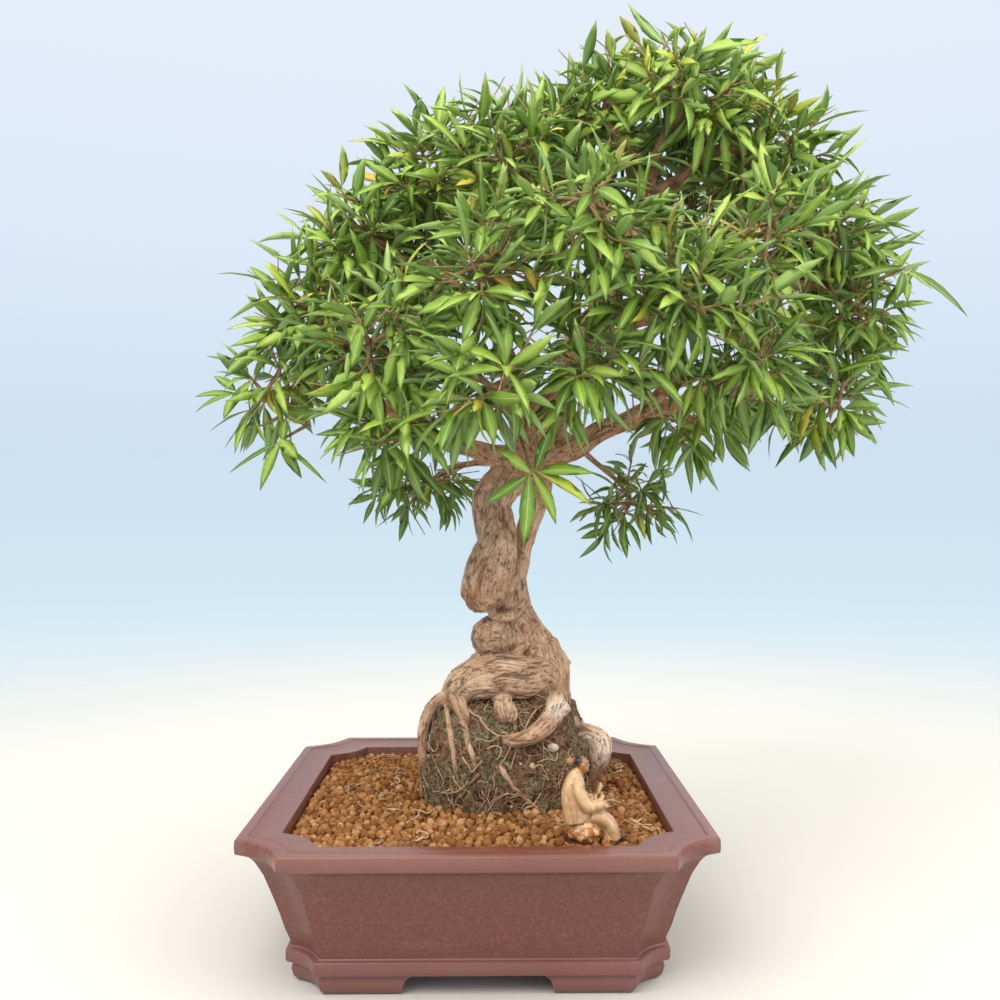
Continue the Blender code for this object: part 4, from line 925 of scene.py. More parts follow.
def loft(rings, closed=False):
    """A solid through rings of equal length: with flat ends, or closed back on its first ring."""
    shape = bmesh.new()
    loops = [[shape.verts.new(p) for p in ring] for ring in rings]
    for low, high in zip(loops, loops[1:] + (loops[:1] if closed else [])):
        for i in range(len(low)):
            j = (i + 1) % len(low)
            shape.faces.new((low[i], low[j], high[j], high[i]))
    if not closed:
        shape.faces.new(loops[0])
        shape.faces.new(loops[-1])
    bmesh.ops.recalc_face_normals(shape, faces=shape.faces)
    mesh = bpy.data.meshes.new("loft")
    shape.to_mesh(mesh)
    shape.free()
    return link("loft", mesh)


def boolean(base, other, operation):
    modifier = base.modifiers.new("Boolean", "BOOLEAN")
    modifier.operation = operation
    modifier.object = other
    modifier.solver = "EXACT"
    base.data = evaluated(base)
    base.modifiers.clear()
    bpy.data.objects.remove(other)


def make_pot(look):
    pot = loft([square_ring(*row) for row in POT_OUTSIDE + POT_INSIDE])
    inner = [square_ring(FOOT_INNER_HALF, FOOT_INNER_CUT, z, 0.0) for z in (POT_FEET[-1][2], 0.0)]
    feet = loft([square_ring(*row) for row in POT_FEET] + inner, closed=True)
    outline = [(-half, z) for z, half in FOOT_GAP] + [(half, z) for z, half in reversed(FOOT_GAP)]
    for along_x in (True, False):
        rings = [[Vector((at, across, z) if along_x else (across, at, z)) for across, z in outline]
                 for at in (-GAP_REACH, GAP_REACH)]
        boolean(feet, loft(rings), "DIFFERENCE")
    boolean(pot, feet, "UNION")
    turns = [k * math.tau / DRAIN_SIDES for k in range(DRAIN_SIDES)]
    for side in (-1, 1):
        ring = [(math.cos(turn) * DRAIN_RADIUS + side * DRAIN_OFFSET, math.sin(turn) * DRAIN_RADIUS)
                for turn in turns]
        boolean(pot, loft([[Vector((x, y, z)) for x, y in ring] for z in DRAIN_HEIGHTS]), "DIFFERENCE")
    mesh = pot.data
    bpy.data.objects.remove(pot)
    places, _ = mesh_points(mesh)
    # Where the clay is redder and gets painted shade: the inner wall and the rim's inner part
    inside = (np.abs(places[:, :2]).max(axis=1) < INNER_RED_SHADE_WITHIN) & (places[:, 2] > INNER_RED_SHADE_ABOVE)
    mark_mesh(mesh, "inside", inside.astype(float))
    mesh.transform(Matrix.Translation(POT_CENTRE))
    piece = add_piece("pot_body", mesh, look)
    mesh.set_sharp_from_angle(angle=SHARP_EDGE)
    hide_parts("pot")


# Wood


def lobe_limb(fork, centre):
    """The limb from a fork to a lobe's centre, arched a little upwards."""
    *source, radius = FORKS[fork]
    source, hub = Vector(source), Vector(centre)
    middle = source.lerp(hub, 0.5) + Vector((0, 0, LIMB_RISE * (hub - source).length))
    near = middle.lerp(hub, 0.55) + Vector((0, 0, 0.02 * (hub - source).length))
    return [(*source, min(radius, 0.0062)), (*middle, 0.0048), (*near, 0.0036), (*hub, 0.0026)]


def wobble(path, radii, size, seed):
    """A path bent a little by noise, less near its ends."""
    share = np.sin(np.linspace(0, math.pi, len(path)))[:, None]
    shift = np.stack([noise_at(path, 28, seed + k) for k in (1, 2, 3)], axis=1)
    return path + shift * size * share, radii


def add_tube(pile, runs, rows, sides, step, bend=0.0, seed=0.0):
    path, radii = smooth_rows(rows, step)
    if bend:
        path, radii = wobble(path, radii, bend, seed)
    pile.add(*sweep(path, radii, sides))
    runs.append((path, radii))


def wood_grain(points, runs):
    """For each point: its place in the run of its nearest tube, that tube's radius there, and how
    much further the next tube is."""
    centres = np.vstack([path for path, _ in runs])
    radii = np.concatenate([radius for _, radius in runs])
    starts = np.cumsum([0] + [len(path) for path, _ in runs[:-1]])
    frames = [path_frame(path) for path, _ in runs]
    along, across, third = (np.vstack([f[k] for f in frames]) for k in range(3))
    lengths = np.concatenate([
        np.concatenate([[0.0], np.cumsum(np.linalg.norm(np.diff(path, axis=0), axis=1))]) + 3.1 * i
        for i, (path, _) in enumerate(runs)])
    grain, thick, lead = [], [], []
    for start in range(0, len(points), 4000):
        part = points[start:start + 4000]
        away = np.linalg.norm(part[:, None] - centres[None], axis=2) - radii[None]
        near = away.argmin(axis=1)
        offset = part - centres[near]
        grain.append(np.stack([(offset * across[near]).sum(1), (offset * third[near]).sum(1),
                               lengths[near] + (offset * along[near]).sum(1)], axis=1))
        thick.append(radii[near])
        best = np.sort(np.minimum.reduceat(away, starts, axis=1), axis=1)
        lead.append(best[:, 1] - best[:, 0])
    return np.vstack(grain), np.concatenate(thick), np.concatenate(lead)


def make_wood(look):
    """Trunk, roots and main limbs, melted together and then raised into fibrous ridges."""
    pile, runs = Pile(), []
    for rows in TRUNK.values():
        add_tube(pile, runs, rows, 28, 0.004)
    for rows in FOLDS.values():
        add_tube(pile, runs, rows, 12, 0.003)
    for name, rows in ROOTS.items():
        add_tube(pile, runs, rows, 18, 0.003, 0.004, len(name))
    for forks in LIMBS:
        add_tube(pile, runs, [FORKS[fork] for fork in forks], 18, 0.005, 0.010, len(forks[-1]))
    points, faces = ball(4)
    for centre, radii in LUMPS.values():
        pile.add(points * radii + centre, faces)
    mesh = pile.melt(WOOD_VOXEL, 2)
    points, normals = mesh_points(mesh)
    grain, thick, lead = wood_grain(points, runs)
    run = grain * np.array((1.0, 1.0, 0.17))
    plates = np.minimum(np.abs(noise_at(run, 270, 1)) * 3.6, 1.0)
    plates = np.minimum(plates, np.minimum(np.abs(noise_at(run, 420, 2)) * 4.0 + 0.25, 1.0))
    melt = np.clip(lead / SEAM_WIDTH, 0, 1)
    plates = plates * melt + 0.6 * (1 - melt)
    strands = noise_at(run, 560, 5)
    swell = noise_at(points, 62, 3) + 0.5 * noise_at(points, 150, 4)
    scar, burl = inside_share(points, *SCAR), inside_share(points, *BURL)
    plates = np.maximum(plates, 0.8 * scar)
    size = np.clip(thick / THICK_WOOD, 0.16, 1.0)
    rise = (PLATE_RISE * (1 + 0.7 * burl) * (plates - 0.7) + STRAND_RISE * strands
            + SWELL_RISE * swell)
    points += normals * (size * rise)[:, None]
    mesh.vertices.foreach_set("co", (points + POT_CENTRE).astype(np.float32).ravel())
    height = points[:, 2]
    low_red = np.clip((RED_BELOW - height) / 0.03, 0, 0.8)
    # crack is 0 in the grooves between the plates, where the bark gets painted shade
    marks = {"grain": grain, "crack": plates, "scar": scar,
             "young": np.maximum(np.clip((height - RED_ABOVE) / 0.05, 0, 1), low_red),
             "pale": np.maximum(*[inside_share(points, *place) for place in PALE])}
    for name, values in marks.items():
        mark_mesh(mesh, name, values)
    piece = add_piece("trunk_and_roots", mesh, look)
    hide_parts("tree_wood")


def make_limbs(look):
    """Side limbs from the main limbs to the lobes."""
    pile, runs = Pile(), []
    for name, (fork, centre, _) in LOBES.items():
        path, radii = wobble(*smooth_rows(lobe_limb(fork, centre), 0.006), 0.010, len(name))
        radii = radii * (1 + 0.10 * noise_at(path, 90, len(name)))
        if name.startswith("hang"):
            radii = radii * HANGING_LIMB
        pile.add(*sweep(path, radii, 10))
        runs.append((path, radii))
    mesh = pile.mesh("side_limbs")
    grain, _, _ = wood_grain(np.vstack(pile.points), runs)
    # crack for the limbs: grooves along the grain, where the bark gets painted shade
    groove_shade_noise = noise_at(grain * np.array((1, 1, 0.14)), 400, 2)
    mark_mesh(mesh, "grain", grain)
    mark_mesh(mesh, "crack", np.minimum(np.abs(groove_shade_noise) * 5, 1))
    mark_mesh(mesh, "young", np.ones(len(grain)))
    piece = add_piece("side_limbs", mesh, look)


# Leaves


def leaf_faces():
    """Faces of one leaf: three points over the blade and one below it in each row, then the tip."""
    sides = len(LEAF_COLUMNS) + 1
    last = (len(LEAF_ROWS) - 2) * sides
    faces = [tuple(reversed(range(sides)))] + tube_faces(len(LEAF_ROWS) - 1, sides)
    return faces + [(last + i, last + (i + 1) % sides, last + sides) for i in range(sides)]


LEAF_FACES = leaf_faces()


def add_leaves(pile, sites, rand, shade=1.0):
    """Leaves from sites of (root, way, face way, length, width, age), darker with painted shade the
    lower shade is.
    """
    shares = np.array([row[0] for row in LEAF_ROWS])
    widths = np.array([row[1] for row in LEAF_ROWS])
    columns = np.array(LEAF_COLUMNS)
    rows = len(shares) - 1
    for root, way, facing, length, width, age in sites:
        side = unit(np.cross(way, facing))
        up = np.cross(side, way)
        bend = rand.uniform(0.15, 0.95)
        turn = bend * shares
        centre = (root + way * (length * np.sin(turn) / bend)[:, None]
                  - up * (length * (1 - np.cos(turn)) / bend)[:, None])
        raised = up * np.cos(turn)[:, None] + way * np.sin(turn)[:, None]
        half = widths * width / 2
        fold = rand.uniform(0.10, 0.55)
        sway = rand.uniform(-0.10, 0.10)
        wave = rand.uniform(0, math.tau)
        centre = centre + side * (sway * length * shares ** 2)[:, None]
        ripple = 0.09 * half * np.sin(shares * 9 + wave)
        points = [centre + side * (t * half * math.cos(fold))[:, None]
                  + raised * (abs(t) * (half * math.sin(fold) + t * ripple))[:, None] for t in columns]
        keel = np.minimum(LEAF_KEEL, half * 0.9 + 0.00008)
        grid = np.stack(points + [centre - raised * keel[:, None]], axis=1)
        pile.add(np.vstack([grid[:-1].reshape(-1, 3), grid[-1][1:2]]), LEAF_FACES,
                 across=np.append(np.tile(np.append(columns, 0.0), rows), 0.0),
                 along=np.append(np.repeat(shares[:-1], len(columns) + 1), 1.0),
                 under=np.append(np.tile([0, 0, 0, 1.0], rows), 0.0),
                 tint=rand.random() * shade, age=age)


def in_crown(places):
    """True for places in the crown: in a lobe's core, or where the lobes around add up."""
    away = (((places[:, None] - LOBE_CENTRES) / LOBE_RADII) ** 2).sum(axis=2)
    return (np.exp(-0.6 * away).sum(axis=1) > CROWN_EDGE) | (away < LOBE_CORES ** 2).any(axis=1)


def place_tips():
    """Places of all twig tips by lobe, evenly spread over the crown's outer part."""
    draw = np.random.default_rng(SEED)
    margin = LOBE_RADII.max()
    low, high = LOBE_CENTRES.min(axis=0) - margin, LOBE_CENTRES.max(axis=0) + margin
    places = draw.uniform(low, high, (TIP_TRIES, 3))
    places = places[in_crown(places)]
    out = unit(places - CROWN_MIDDLE)
    depth = np.zeros(len(places))
    for far in np.arange(0.01, 0.20, 0.01):
        depth = np.where(in_crown(places + out * far), far, depth)
    keep = (depth < SHELL_DEPTH) | (draw.random(len(places)) < DEEP_SHARE)
    tips = {name: [] for name in LOBES}
    names = list(LOBES)
    shelf = {}
    for place in places[keep]:
        a, b, c = (int(v // TIP_SPACING) for v in place)
        near = [q for i in (-1, 0, 1) for j in (-1, 0, 1) for k in (-1, 0, 1)
                for q in shelf.get((a + i, b + j, c + k), ())]
        if any(np.linalg.norm(place - q) < TIP_SPACING for q in near):
            continue
        shelf.setdefault((a, b, c), []).append(place)
        away = (((place - LOBE_CENTRES) / LOBE_RADII) ** 2).sum(axis=1)
        tips[names[int(away.argmin())]].append(Vector(place))
    return tips


def leaf_sites(path, count, droop, young, rand):
    """Sites of a twig's leaves: alternate along its outer part, closest at its tip."""
    sites = []
    start = rand.uniform(0, math.tau)
    for k in range(count):
        place = (len(path) - 1) * (1 - 0.80 * (k / count) ** 1.1)
        low = min(int(place), len(path) - 2)
        root = Vector(path[low]).lerp(Vector(path[low + 1]), place - low)
        along = Vector(path[low + 1] - path[low]).normalized()
        lean = math.radians(rand.uniform(6, 36) if k < 2 else rand.uniform(32, 76))
        turn = Quaternion(along, start + k * 2.4 + rand.uniform(-0.5, 0.5))
        way = along * math.cos(lean) + turn @ along.orthogonal().normalized() * math.sin(lean)
        way = (way - UP * droop * rand.uniform(-0.3, 1)).normalized()
        facing = (UP + 0.6 * along + 0.6 * scatter(rand)).normalized()
        fresh = young and k < 3
        length = rand.uniform(*LEAF_LENGTH) * (rand.uniform(0.55, 0.85) if fresh else 1)
        width = rand.uniform(*LEAF_WIDTH) * (0.8 if fresh else 1)
        age = rand.uniform(0.45, 1.0) if fresh else rand.uniform(0, 0.12)
        sites.append((np.array(root), np.array(way), np.array(facing), length, width, age))
    return sites


def inside_reach(site):
    """True where a leaf ends in the solids' box or just beyond it, and below the crown's slanting
    top."""
    root, way, _, length, _, _ = site
    tip = root + way * length
    if tip[2] - CAMERA_PLACE[2] > TOP_SLOPE * (tip[1] - CAMERA_PLACE[1]):
        return False
    tip = tip + POT_CENTRE
    low = np.array(cad_low) - REACH_BEYOND_CAD
    high = np.array(cad_high) + REACH_BEYOND_CAD
    return bool((tip > low).all() and (tip < high).all())


def add_twig(pile, start, end, way, thick, thin, tint):
    """A bent twig that ends along a way. Returns its path."""
    start, end = Vector(start), Vector(end)
    middle = start.lerp(end, 0.6) - Vector(way) * (0.12 * (end - start).length)
    rows = [(*start, thick), (*middle, (thick + thin) / 2), (*end, thin)]
    path, radii = smooth_rows(rows, 0.007)
    pile.add(*sweep(path, radii, 6), tint=tint)
    return path


def share_out(hub, tips):
    """A lobe's tips in groups, each round one of a few main ways from its hub."""
    ways = [(tip - hub).normalized() for tip in tips]
    mains = [ways[0]]
    while len(mains) < min(MAIN_TWIGS, len(ways)):
        mains.append(max(ways, key=lambda way: min(way.angle(w) for w in mains)))
    groups = [[] for _ in mains]
    for way, tip in zip(ways, tips):
        groups[min(range(len(mains)), key=lambda i: way.angle(mains[i]))].append(tip)
    return [group for group in groups if group]


def add_tip(twigs, main, tip, low, rand):
    """A leafy twig from its main twig to a tip, with bare twigs and a bud. Returns its leaves' sites."""
    out = (tip - Vector(CROWN_MIDDLE)).normalized()
    start = Vector(main[rand.randrange(len(main) // 2, len(main))])
    way = ((tip - start).normalized() * 0.6 + out * 0.5 + UP * (0.0 if low else 0.55)).normalized()
    path = add_twig(twigs, start, tip, way * (1.0 if low else 1.7), 0.0013, 0.0008, 0.25)
    young = rand.random() < (0.14 if low else 0.32)
    sites = leaf_sites(path, rand.randint(*LEAVES_ON_TWIG), 0.55 if low else 0.10, young, rand)
    for _ in range(BARE_TWIGS):
        root = Vector(path[rand.randrange(len(path) // 3, len(path))])
        reach = scatter(rand, 0.013) + (tip - start) * 0.25
        add_twig(twigs, root, root + reach, reach.normalized(), 0.0007, 0.0004, 0.0)
    along = Vector(path[-1] - path[-2]).normalized()
    bud = [(*(tip + along * far), radius) for far, radius in BUD_ROWS]
    twigs.add(*sweep(*smooth_rows(bud, 0.002), 6), tint=0.9 if young else 0.45)
    return sites


def make_lobe(name, tips, leaf, twig_bark, rand):
    """One lobe's twigs and leaves, as two pieces that stand for its spray."""
    hub = Vector(LOBES[name][1])
    leaves, twigs, sites = Pile(), Pile(), []
    for group in share_out(hub, tips):
        middle = sum(group, Vector()) / len(group)
        fork = hub.lerp(middle, 0.6)
        main = add_twig(twigs, hub, fork, (middle - hub).normalized(), 0.0021, 0.0015, 0.0)
        for tip in group:
            sites += add_tip(twigs, main, tip, hub.z < LOW_LOBE, rand)
    for start, end, ways in TUFTS.get(name, ()):
        out = (Vector(end) - Vector(start)).normalized()
        add_twig(twigs, start, end, out, 0.0016, 0.0010, 0.1)
        for k, (way, width, age) in enumerate(ways):
            facing = unit((0.25 * math.sin(2.1 * k), -1.0, 0.55))
            root = np.array(end) + 0.002 * np.array((math.cos(k), 0.0, math.sin(k)))
            sites.append((root, unit(way), facing, float(np.linalg.norm(way)), width, age))
    # Hanging lobes get painted shade: their leaves' tints are lowered
    hanging = name.startswith("hang")
    size, shade = (HANGING_SIZE, HANGING_SHADE) if hanging else (1.0, 1.0)
    sites = [(root, way, facing, length * size, width * size, age)
             for root, way, facing, length, width, age in sites]
    add_leaves(leaves, filter(inside_reach, sites), rand, shade)
    piece = leaves.make("leaves_" + name, leaf)
    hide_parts("spray_" + name)
    piece = twigs.make("twigs_" + name, twig_bark)


# Root ball and grit


def ball_place(way, lift=0.0):
    """A place on the root ball's surface in a direction from its centre."""
    push = 1.0 + BALL_ROUGHNESS * noise.noise(Vector(way) * 2.3 + BALL_CENTRE * 40)
    push *= sum(abs(share) ** BALL_FULLNESS for share in way) ** (-1 / BALL_FULLNESS)
    return np.array([BALL_CENTRE[i] + way[i] * (BALL_RADII[i] * push + lift) for i in range(3)])


def moss_share(points):
    """How mossy the root ball is: in patches, mostly on its left and beside the right knee."""
    patches = noise_at(points, 46, 9)
    left = np.clip((0.030 - points[:, 0]) / 0.05, 0, 1)
    knee = inside_share(points, *KNEE_MOSS)
    return np.clip((patches + 0.42 * left + 0.75 * knee - 0.02) * 3.2, 0, 1)


def make_soil(soil):
    """The root ball's own surface. Returns it for other things to lie on."""
    points, faces = ball(6)
    places = np.array([ball_place(way) for way in points])
    crumbs = noise_at(places, 110, 5) + 0.7 * noise_at(places, 260, 6)
    pits = np.abs(noise_at(places, 75, 7))
    places += points * (0.0030 * crumbs - 0.0030 * (pits < 0.10))[:, None]
    places[:, 2] = np.maximum(places[:, 2], BALL_BOTTOM)
    pile = Pile()
    pile.add(places, faces, moss=moss_share(places))
    piece = pile.make("root_soil", soil)
    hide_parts("root_ball")
    return BVHTree.FromPolygons([Vector(place) for place in places], faces)


def on_front(surface, x, z, lift=0.0):
    """A place on the soil's front, straight behind (x, z)."""
    hit = surface.ray_cast(Vector((x, -0.2, z)), Vector((0, 1, 0)))[0]
    return Vector((x, (hit.y if hit else BALL_CENTRE.y - 0.5 * BALL_RADII.y) - lift, z))


def add_fine_roots(pile, surface):
    for radius, tint, route in FINE_ROOTS:
        rows = [(x, 0.0, z, radius * (0.8 - 0.5 * k / len(route))) for k, (x, z) in enumerate(route)]
        path, radii = wobble(*smooth_rows(rows, 0.0016), 0.0016, radius * 9000)
        depth = np.array([on_front(surface, x, z, 0.7 * radius + 0.0004).y for x, _, z in path])
        edged = np.pad(depth, 2, mode="edge")
        depth = np.min([edged[k:k + len(depth)] for k in range(5)], axis=0)
        edged = np.pad(depth, 1, mode="edge")
        path[:, 1] = (edged[:-2] + edged[1:-1] + edged[2:]) / 3
        pile.add(*sweep(path, radii, 7), tint=0.8 * tint)


def make_rootlets(rootlets, surface, rand):
    pile = Pile()
    add_fine_roots(pile, surface)
    for k in range(ROOTLETS):
        way = scatter(rand).normalized()
        if way.z < -0.25:
            continue
        heading = scatter(rand).normalized()
        thick = rand.choice(ROOTLET_RADII)
        steps = rand.randint(4, 9)
        lift = rand.uniform(0.0004, 0.0022)
        curl = rand.uniform(0.3, 0.9)
        rows = []
        for step in range(steps):
            place = ball_place(way, lift + 0.0015 * abs(math.sin(step * 1.3 + k)))
            if place[2] < BALL_SHOWS or (place[0] > KNEE_LEFT and place[2] > KNEE_TOP):
                break
            rows.append((*Vector(place), thick * (1 - 0.6 * step / steps)))
            heading = (heading + scatter(rand, curl)).normalized()
            heading = (heading - way * heading.dot(way)).normalized()
            way = (way + heading * 0.045).normalized()
        if len(rows) > 2:
            pile.add(*sweep(*smooth_rows(rows, 0.0022), 4), tint=rand.random() ** 1.4)
    piece = pile.make("ball_rootlets", rootlets)


def make_moss(moss, rand):
    """Moss as small spikes that stand out of the soil."""
    pile = Pile()
    for _ in range(MOSS_SPIKES):
        way = scatter(rand).normalized()
        place = ball_place(way)
        if place[2] < MOSS_ABOVE or moss_share(place[None])[0] < 0.45:
            continue
        lean = (way + scatter(rand, 0.7)).normalized()
        tall = rand.uniform(0.0010, 0.0034)
        across = lean.orthogonal().normalized() * rand.uniform(0.00020, 0.0004)
        foot = Vector(place) - lean * SPIKE_SUNK
        base = [foot + across] + [foot + Quaternion(lean, turn) @ across for turn in (2.1, 4.2)]
        pile.add(base + [foot + lean * (tall + SPIKE_SUNK)], [(2, 1, 0), (0, 1, 3), (1, 2, 3), (2, 0, 3)],
                 tint=rand.random())
    piece = pile.make("moss_tufts", moss, smooth=False)


def make_pebbles(stone, surface, rand):
    points, faces = ball(3)
    pile = Pile()
    spots = [(np.array(on_front(surface, x, z)), np.array((0.75, 0.6, 1.0)) * size)
             for x, z, size in STONES]
    for _ in range(PEBBLES):
        place = ball_place(scatter(rand).normalized())
        if place[2] > PEBBLES_ABOVE:
            spots.append((place, np.array([rand.uniform(0.0008, 0.0017) for _ in range(3)])))
    for k, (place, size) in enumerate(spots):
        spin = any_turn(rand)
        bumps = 1 + 0.18 * noise_at(points, 1.6, k)
        pile.add((points * bumps[:, None] * size) @ spin.T + place, faces, tint=rand.random())
    piece = pile.make("ball_pebbles", stone)


def grit_tree():
    """The grit solid's own faces, to set granules on."""
    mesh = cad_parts["grit"].data
    points = [Vector(vert.co) - Vector(POT_CENTRE) for vert in mesh.vertices]
    return BVHTree.FromPolygons(points, [tuple(face.vertices) for face in mesh.polygons])


def grit_level(tree, x, y):
    """The grit's height at a place, or None where it is under the root ball or off the grit."""
    hit = tree.ray_cast(Vector((x, y, 0.2)), Vector((0, 0, -1)))[0]
    if hit is None or hit.z < GRIT_LOWEST:
        return None
    spot = Vector((x, y, hit.z + 0.001))
    inside = sum(((spot[i] - BALL_CENTRE[i]) / BALL_RADII[i]) ** 2 for i in range(3))
    return None if inside < BALL_COVERS else hit.z


def figure_near(x, y, gap):
    return (Vector((x, y)) - FIGURE_SPOT.xy).length < gap


def make_grit(look, tree, rand):
    """Layers of granules on the grit's surface, the largest first."""
    variants = {}
    for detail in (1, 2):
        points, faces = ball(detail)
        variants[detail] = [(points * (1 + 0.32 * noise_at(points, 1.4, k)
                                       + 0.16 * noise_at(points, 3.0, k))[:, None], faces)
                            for k in range(GRANULE_SHAPES)]
    pile = Pile()
    shelf = {}
    for tries, sizes, apart, lift, detail in GRANULE_LAYERS:
        for _ in range(tries):
            x, y = (rand.uniform(-RIM_INNER_HALF, RIM_INNER_HALF) for _ in range(2))
            radius = rand.uniform(*sizes)
            if abs(x) + abs(y) > 2 * RIM_INNER_HALF - GRIT_CORNER:
                continue
            if max(abs(x), abs(y)) > RIM_INNER_HALF - radius:
                continue
            if figure_near(x, y, FIGURE_CLEAR):
                continue
            if radius > COARSE_GRANULE and rand.random() > 0.25 + 0.75 * (0.02 - y) / 0.12:
                continue
            a, b = int(x // GRANULE_CELL), int(y // GRANULE_CELL)
            near = [g for i in (-1, 0, 1) for j in (-1, 0, 1) for g in shelf.get((a + i, b + j), ())]
            if any(math.hypot(x - gx, y - gy) < (radius + r) * apart for gx, gy, r in near):
                continue
            level = grit_level(tree, x, y)
            if level is None:
                continue
            shelf.setdefault((a, b), []).append((x, y, radius))
            points, faces = rand.choice(variants[detail])
            spin = any_turn(rand)
            stretch = np.array([rand.uniform(0.82, 1.18) for _ in range(3)])
            place = np.array((x, y, level + radius * (lift + rand.uniform(-0.2, 0.3))))
            pile.add((points * stretch * radius) @ spin.T + place, faces, tint=rand.random())
    piece = pile.make("grit_granules", look)


def make_loose_roots(rootlets, tree, rand):
    """Loose dry roots on the grit, some in a heap at the right."""
    pile = Pile()
    spots = [(rand.uniform(-0.13, 0.13), rand.uniform(-0.13, 0.13)) for _ in range(LOOSE_ROOTS)]
    spots += [(rand.gauss(0.112, 0.012), rand.gauss(-0.080, 0.026)) for _ in range(HEAPED_ROOTS)]
    for x, y in spots:
        heading = rand.uniform(0, math.tau)
        turn = rand.uniform(-0.9, 0.9)
        thick = rand.choice(LOOSE_ROOT_RADII)
        rows = []
        for step in range(rand.randint(5, 10)):
            level = grit_level(tree, x, y) if max(abs(x), abs(y)) < LOOSE_WITHIN else None
            if level is None or abs(x) + abs(y) > LOOSE_CORNER or figure_near(x, y, ROOTS_CLEAR):
                break
            height = level + 0.0032 + 0.0022 * abs(math.sin(step * 1.1 + x * 900))
            rows.append((*Vector((x, y, height)), thick))
            heading += turn + rand.gauss(0, 0.45)
            x += LOOSE_ROOT_STEP * math.cos(heading)
            y += LOOSE_ROOT_STEP * math.sin(heading)
        if len(rows) > 3:
            rows[-1] = (*rows[-1][:3], thick * 0.4)
            pile.add(*sweep(*smooth_rows(rows, 0.002), 6), tint=rand.uniform(0.1, 0.7))
    piece = pile.make("loose_rootlets", rootlets)


def make_dry_leaves(dry, tree, rand):
    pile, sites = Pile(), []
    for _ in range(DRY_LEAVES):
        x, y = rand.uniform(-0.125, 0.125), rand.uniform(-0.125, 0.125)
        level = grit_level(tree, x, y)
        if level is None or abs(x) + abs(y) > DRY_LEAF_CORNER or figure_near(x, y, DRY_LEAVES_CLEAR):
            continue
        heading = rand.uniform(0, math.tau)
        way = np.array((math.cos(heading), math.sin(heading), 0.12))
        facing = unit((rand.gauss(0, 0.4), rand.gauss(0, 0.4), 1.0))
        sites.append((np.array((x, y, level + 0.005)), unit(way), facing, rand.uniform(0.012, 0.024),
                      rand.uniform(0.003, 0.005), 0.0))
    add_leaves(pile, sites, rand)
    piece = pile.make("dry_leaves", dry)


# Scholar


def figure_parts():
    """The figure's parts as (kind, points, faces), with arms and hands on both sides."""
    tubes = list(FIGURE_TUBES)
    for kind, rows in FIGURE_PAIRS:
        for side in (-1, 1):
            tubes.append((kind, [(x, y * side, z, radius) for x, y, z, radius in rows]))
    parts = [(kind, *sweep(*smooth_rows(rows, 0.001), 20)) for kind, rows in tubes]
    points, faces = ball(3)
    for kind, centre, radii in FIGURE_LUMPS:
        parts.append((kind, points * radii + centre, faces))
    centre, radii = ROCK
    bumps = 1 + 0.22 * noise_at(points, 1.3, 3) + 0.10 * noise_at(points, 3.1, 4)
    parts.append(("rock", points * bumps[:, None] * np.array(radii) + np.array(centre), faces))
    centre, halves, lean = BOOK
    corners = np.array([(i, j, k) for i in (-1, 1) for j in (-1, 1) for k in (-1, 1)]) * np.array(halves)
    turn = np.array(Matrix.Rotation(lean, 3, "Y"))
    parts.append(("page", corners @ turn.T + np.array(centre), BOX_FACES))
    return parts


def make_figure(look):
    """A scholar seated on a rock and reading, melted together from tubes and lumps as fired clay."""
    pile, owners = Pile(), []
    for kind, points, faces in figure_parts():
        pile.add(points, faces)
        owners += [(point, kind) for point in points]
    mesh = pile.melt(FIGURE_VOXEL, 4)
    places, normals = mesh_points(mesh)
    tree = KDTree(len(owners))
    for index, (point, _) in enumerate(owners):
        tree.insert(point, index)
    tree.balance()
    nearest = np.array([owners[tree.find(place)[1]][1] for place in places])
    robe = nearest == "robe"
    run = places * np.array((1.0, 1.0, 0.35)) + 0.35 * places[:, [2, 2, 2]] * np.array((0.6, 0.0, 0.0))
    fold = np.minimum(np.abs(noise_at(run, 150, 2)) * 3.0, 1.0)
    places += normals * (np.where(robe, 0.0004 * (fold - 0.7), 0.0002 * noise_at(places, 300, 5)))[:, None]
    places[:, 2] = np.maximum(places[:, 2], 0.0)
    spot = np.array(FIGURE_SPOT) + POT_CENTRE
    mesh.vertices.foreach_set("co", (places + spot).astype(np.float32).ravel())
    for kind in ("skin", "hair", "dark", "page", "rock"):
        mark_mesh(mesh, kind, (nearest == kind).astype(float))
    # fold is 0 in the robe's creases, which the glaze paints darker as shade
    mark_mesh(mesh, "fold", np.where(robe, fold, 1.0))
    piece = add_piece("seated_scholar", mesh, look)
    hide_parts("scholar_figure")


# Scene


def make_floor():
    """A pale floor that fades into the backdrop far from the object."""
    shape = bmesh.new()
    bmesh.ops.create_circle(shape, cap_ends=True, segments=96, radius=FLOOR_RADIUS)
    mesh = bpy.data.meshes.new("floor")
    shape.to_mesh(mesh)
    shape.free()
    floor = link("floor", mesh)
    look = Look("floor", 0.8, 0.2)
    look.finish(look.blend(look.noise(1.2, 3), (202, 201, 197), (207, 206, 202)))
    away = look.add("ShaderNodeVectorMath", {0: look.place}, operation="LENGTH").outputs["Value"]
    see_through = look.span(away, FLOOR_CLEAR, 0.85 * FLOOR_RADIUS)
    look.feed(look.shader.inputs["Alpha"], look.calc("SUBTRACT", 1.0, see_through))
    floor.data.materials.append(look.material)


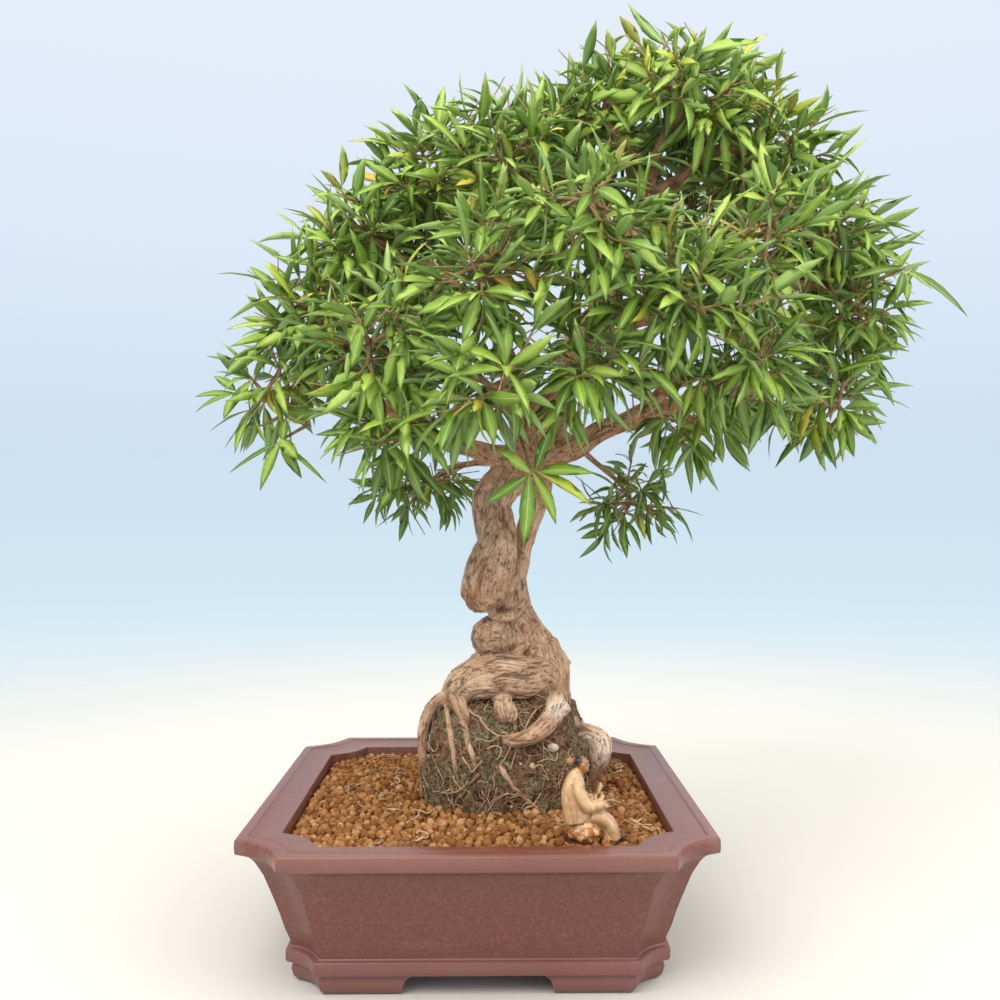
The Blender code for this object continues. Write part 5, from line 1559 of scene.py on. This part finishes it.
def make_backdrop():
    """Soft light all round, whose colour goes by height."""
    world = bpy.data.worlds.new("studio")
    bpy.context.scene.world = world
    world.use_nodes = True
    nodes, links = world.node_tree.nodes, world.node_tree.links
    spread = nodes.new("ShaderNodeTexCoord")
    split = nodes.new("ShaderNodeSeparateXYZ")
    shift = nodes.new("ShaderNodeMath")
    shift.operation = "MULTIPLY_ADD"
    shift.inputs[1].default_value = 0.5
    shift.inputs[2].default_value = 0.5
    ramp = nodes.new("ShaderNodeValToRGB")
    links.new(spread.outputs["Generated"], split.inputs[0])
    links.new(split.outputs["Z"], shift.inputs[0])
    links.new(shift.outputs[0], ramp.inputs["Fac"])
    links.new(ramp.outputs["Color"], nodes["Background"].inputs["Color"])
    nodes["Background"].inputs["Strength"].default_value = 1.0
    stops = ramp.color_ramp.elements
    for stop, (position, colour) in ((stops[0], BACKDROP[0]), (stops[1], BACKDROP[-1])):
        stop.position = position
        stop.color = paint(*colour)
    for position, colour in BACKDROP[1:-1]:
        stops.new(position).color = paint(*colour)


def make_lights():
    for name, place, size, power in LIGHTS:
        data = bpy.data.lights.new(name, "AREA")
        data.size = size
        data.energy = power
        data.color = LIGHT_COLOUR
        light = link(name, data)
        light.location = place
        light.rotation_euler = (Vector(LIT_POINT) - Vector(place)).to_track_quat("-Z", "Y").to_euler()


def make_camera():
    data = bpy.data.cameras.new("camera")
    data.lens = CAMERA_LENS
    data.sensor_width = CAMERA_SENSOR
    camera = link("camera", data)
    camera.location = Vector(CAMERA_PLACE) + Vector(POT_CENTRE)
    camera.rotation_euler = Euler((math.pi / 2 + CAMERA_PITCH, 0, -CAMERA_YAW))
    bpy.context.scene.camera = camera


def main():
    rand = random.Random(SEED)
    bpy.context.scene.view_settings.view_transform = "Standard"
    make_camera()
    make_backdrop()
    make_lights()
    make_floor()
    bark, leaf, twig, rootlets = bark_look(), leaf_look(), twig_look(), rootlet_look()
    make_pot(clay_look())
    make_wood(bark)
    make_limbs(bark)
    tips = place_tips()
    for name in LOBES:
        make_lobe(name, tips[name], leaf, twig, rand)
    surface = make_soil(soil_look())
    make_rootlets(rootlets, surface, rand)
    make_moss(moss_look(), rand)
    make_pebbles(stone_look(), surface, rand)
    tree = grit_tree()
    make_grit(grit_look("granules", 0.0), tree, rand)
    make_loose_roots(rootlets, tree, rand)
    make_dry_leaves(dry_leaf_look(), tree, rand)
    make_figure(glaze_look())
    # The grit bed under the granules gets painted shade
    for node, look in (("grit", grit_look("grit_bed", 0.6)),
                       ("drain_screen_left", plastic_look()), ("drain_screen_right", plastic_look())):
        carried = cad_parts[node]
        carried.data.materials.clear()
        carried.data.materials.append(look)


main()
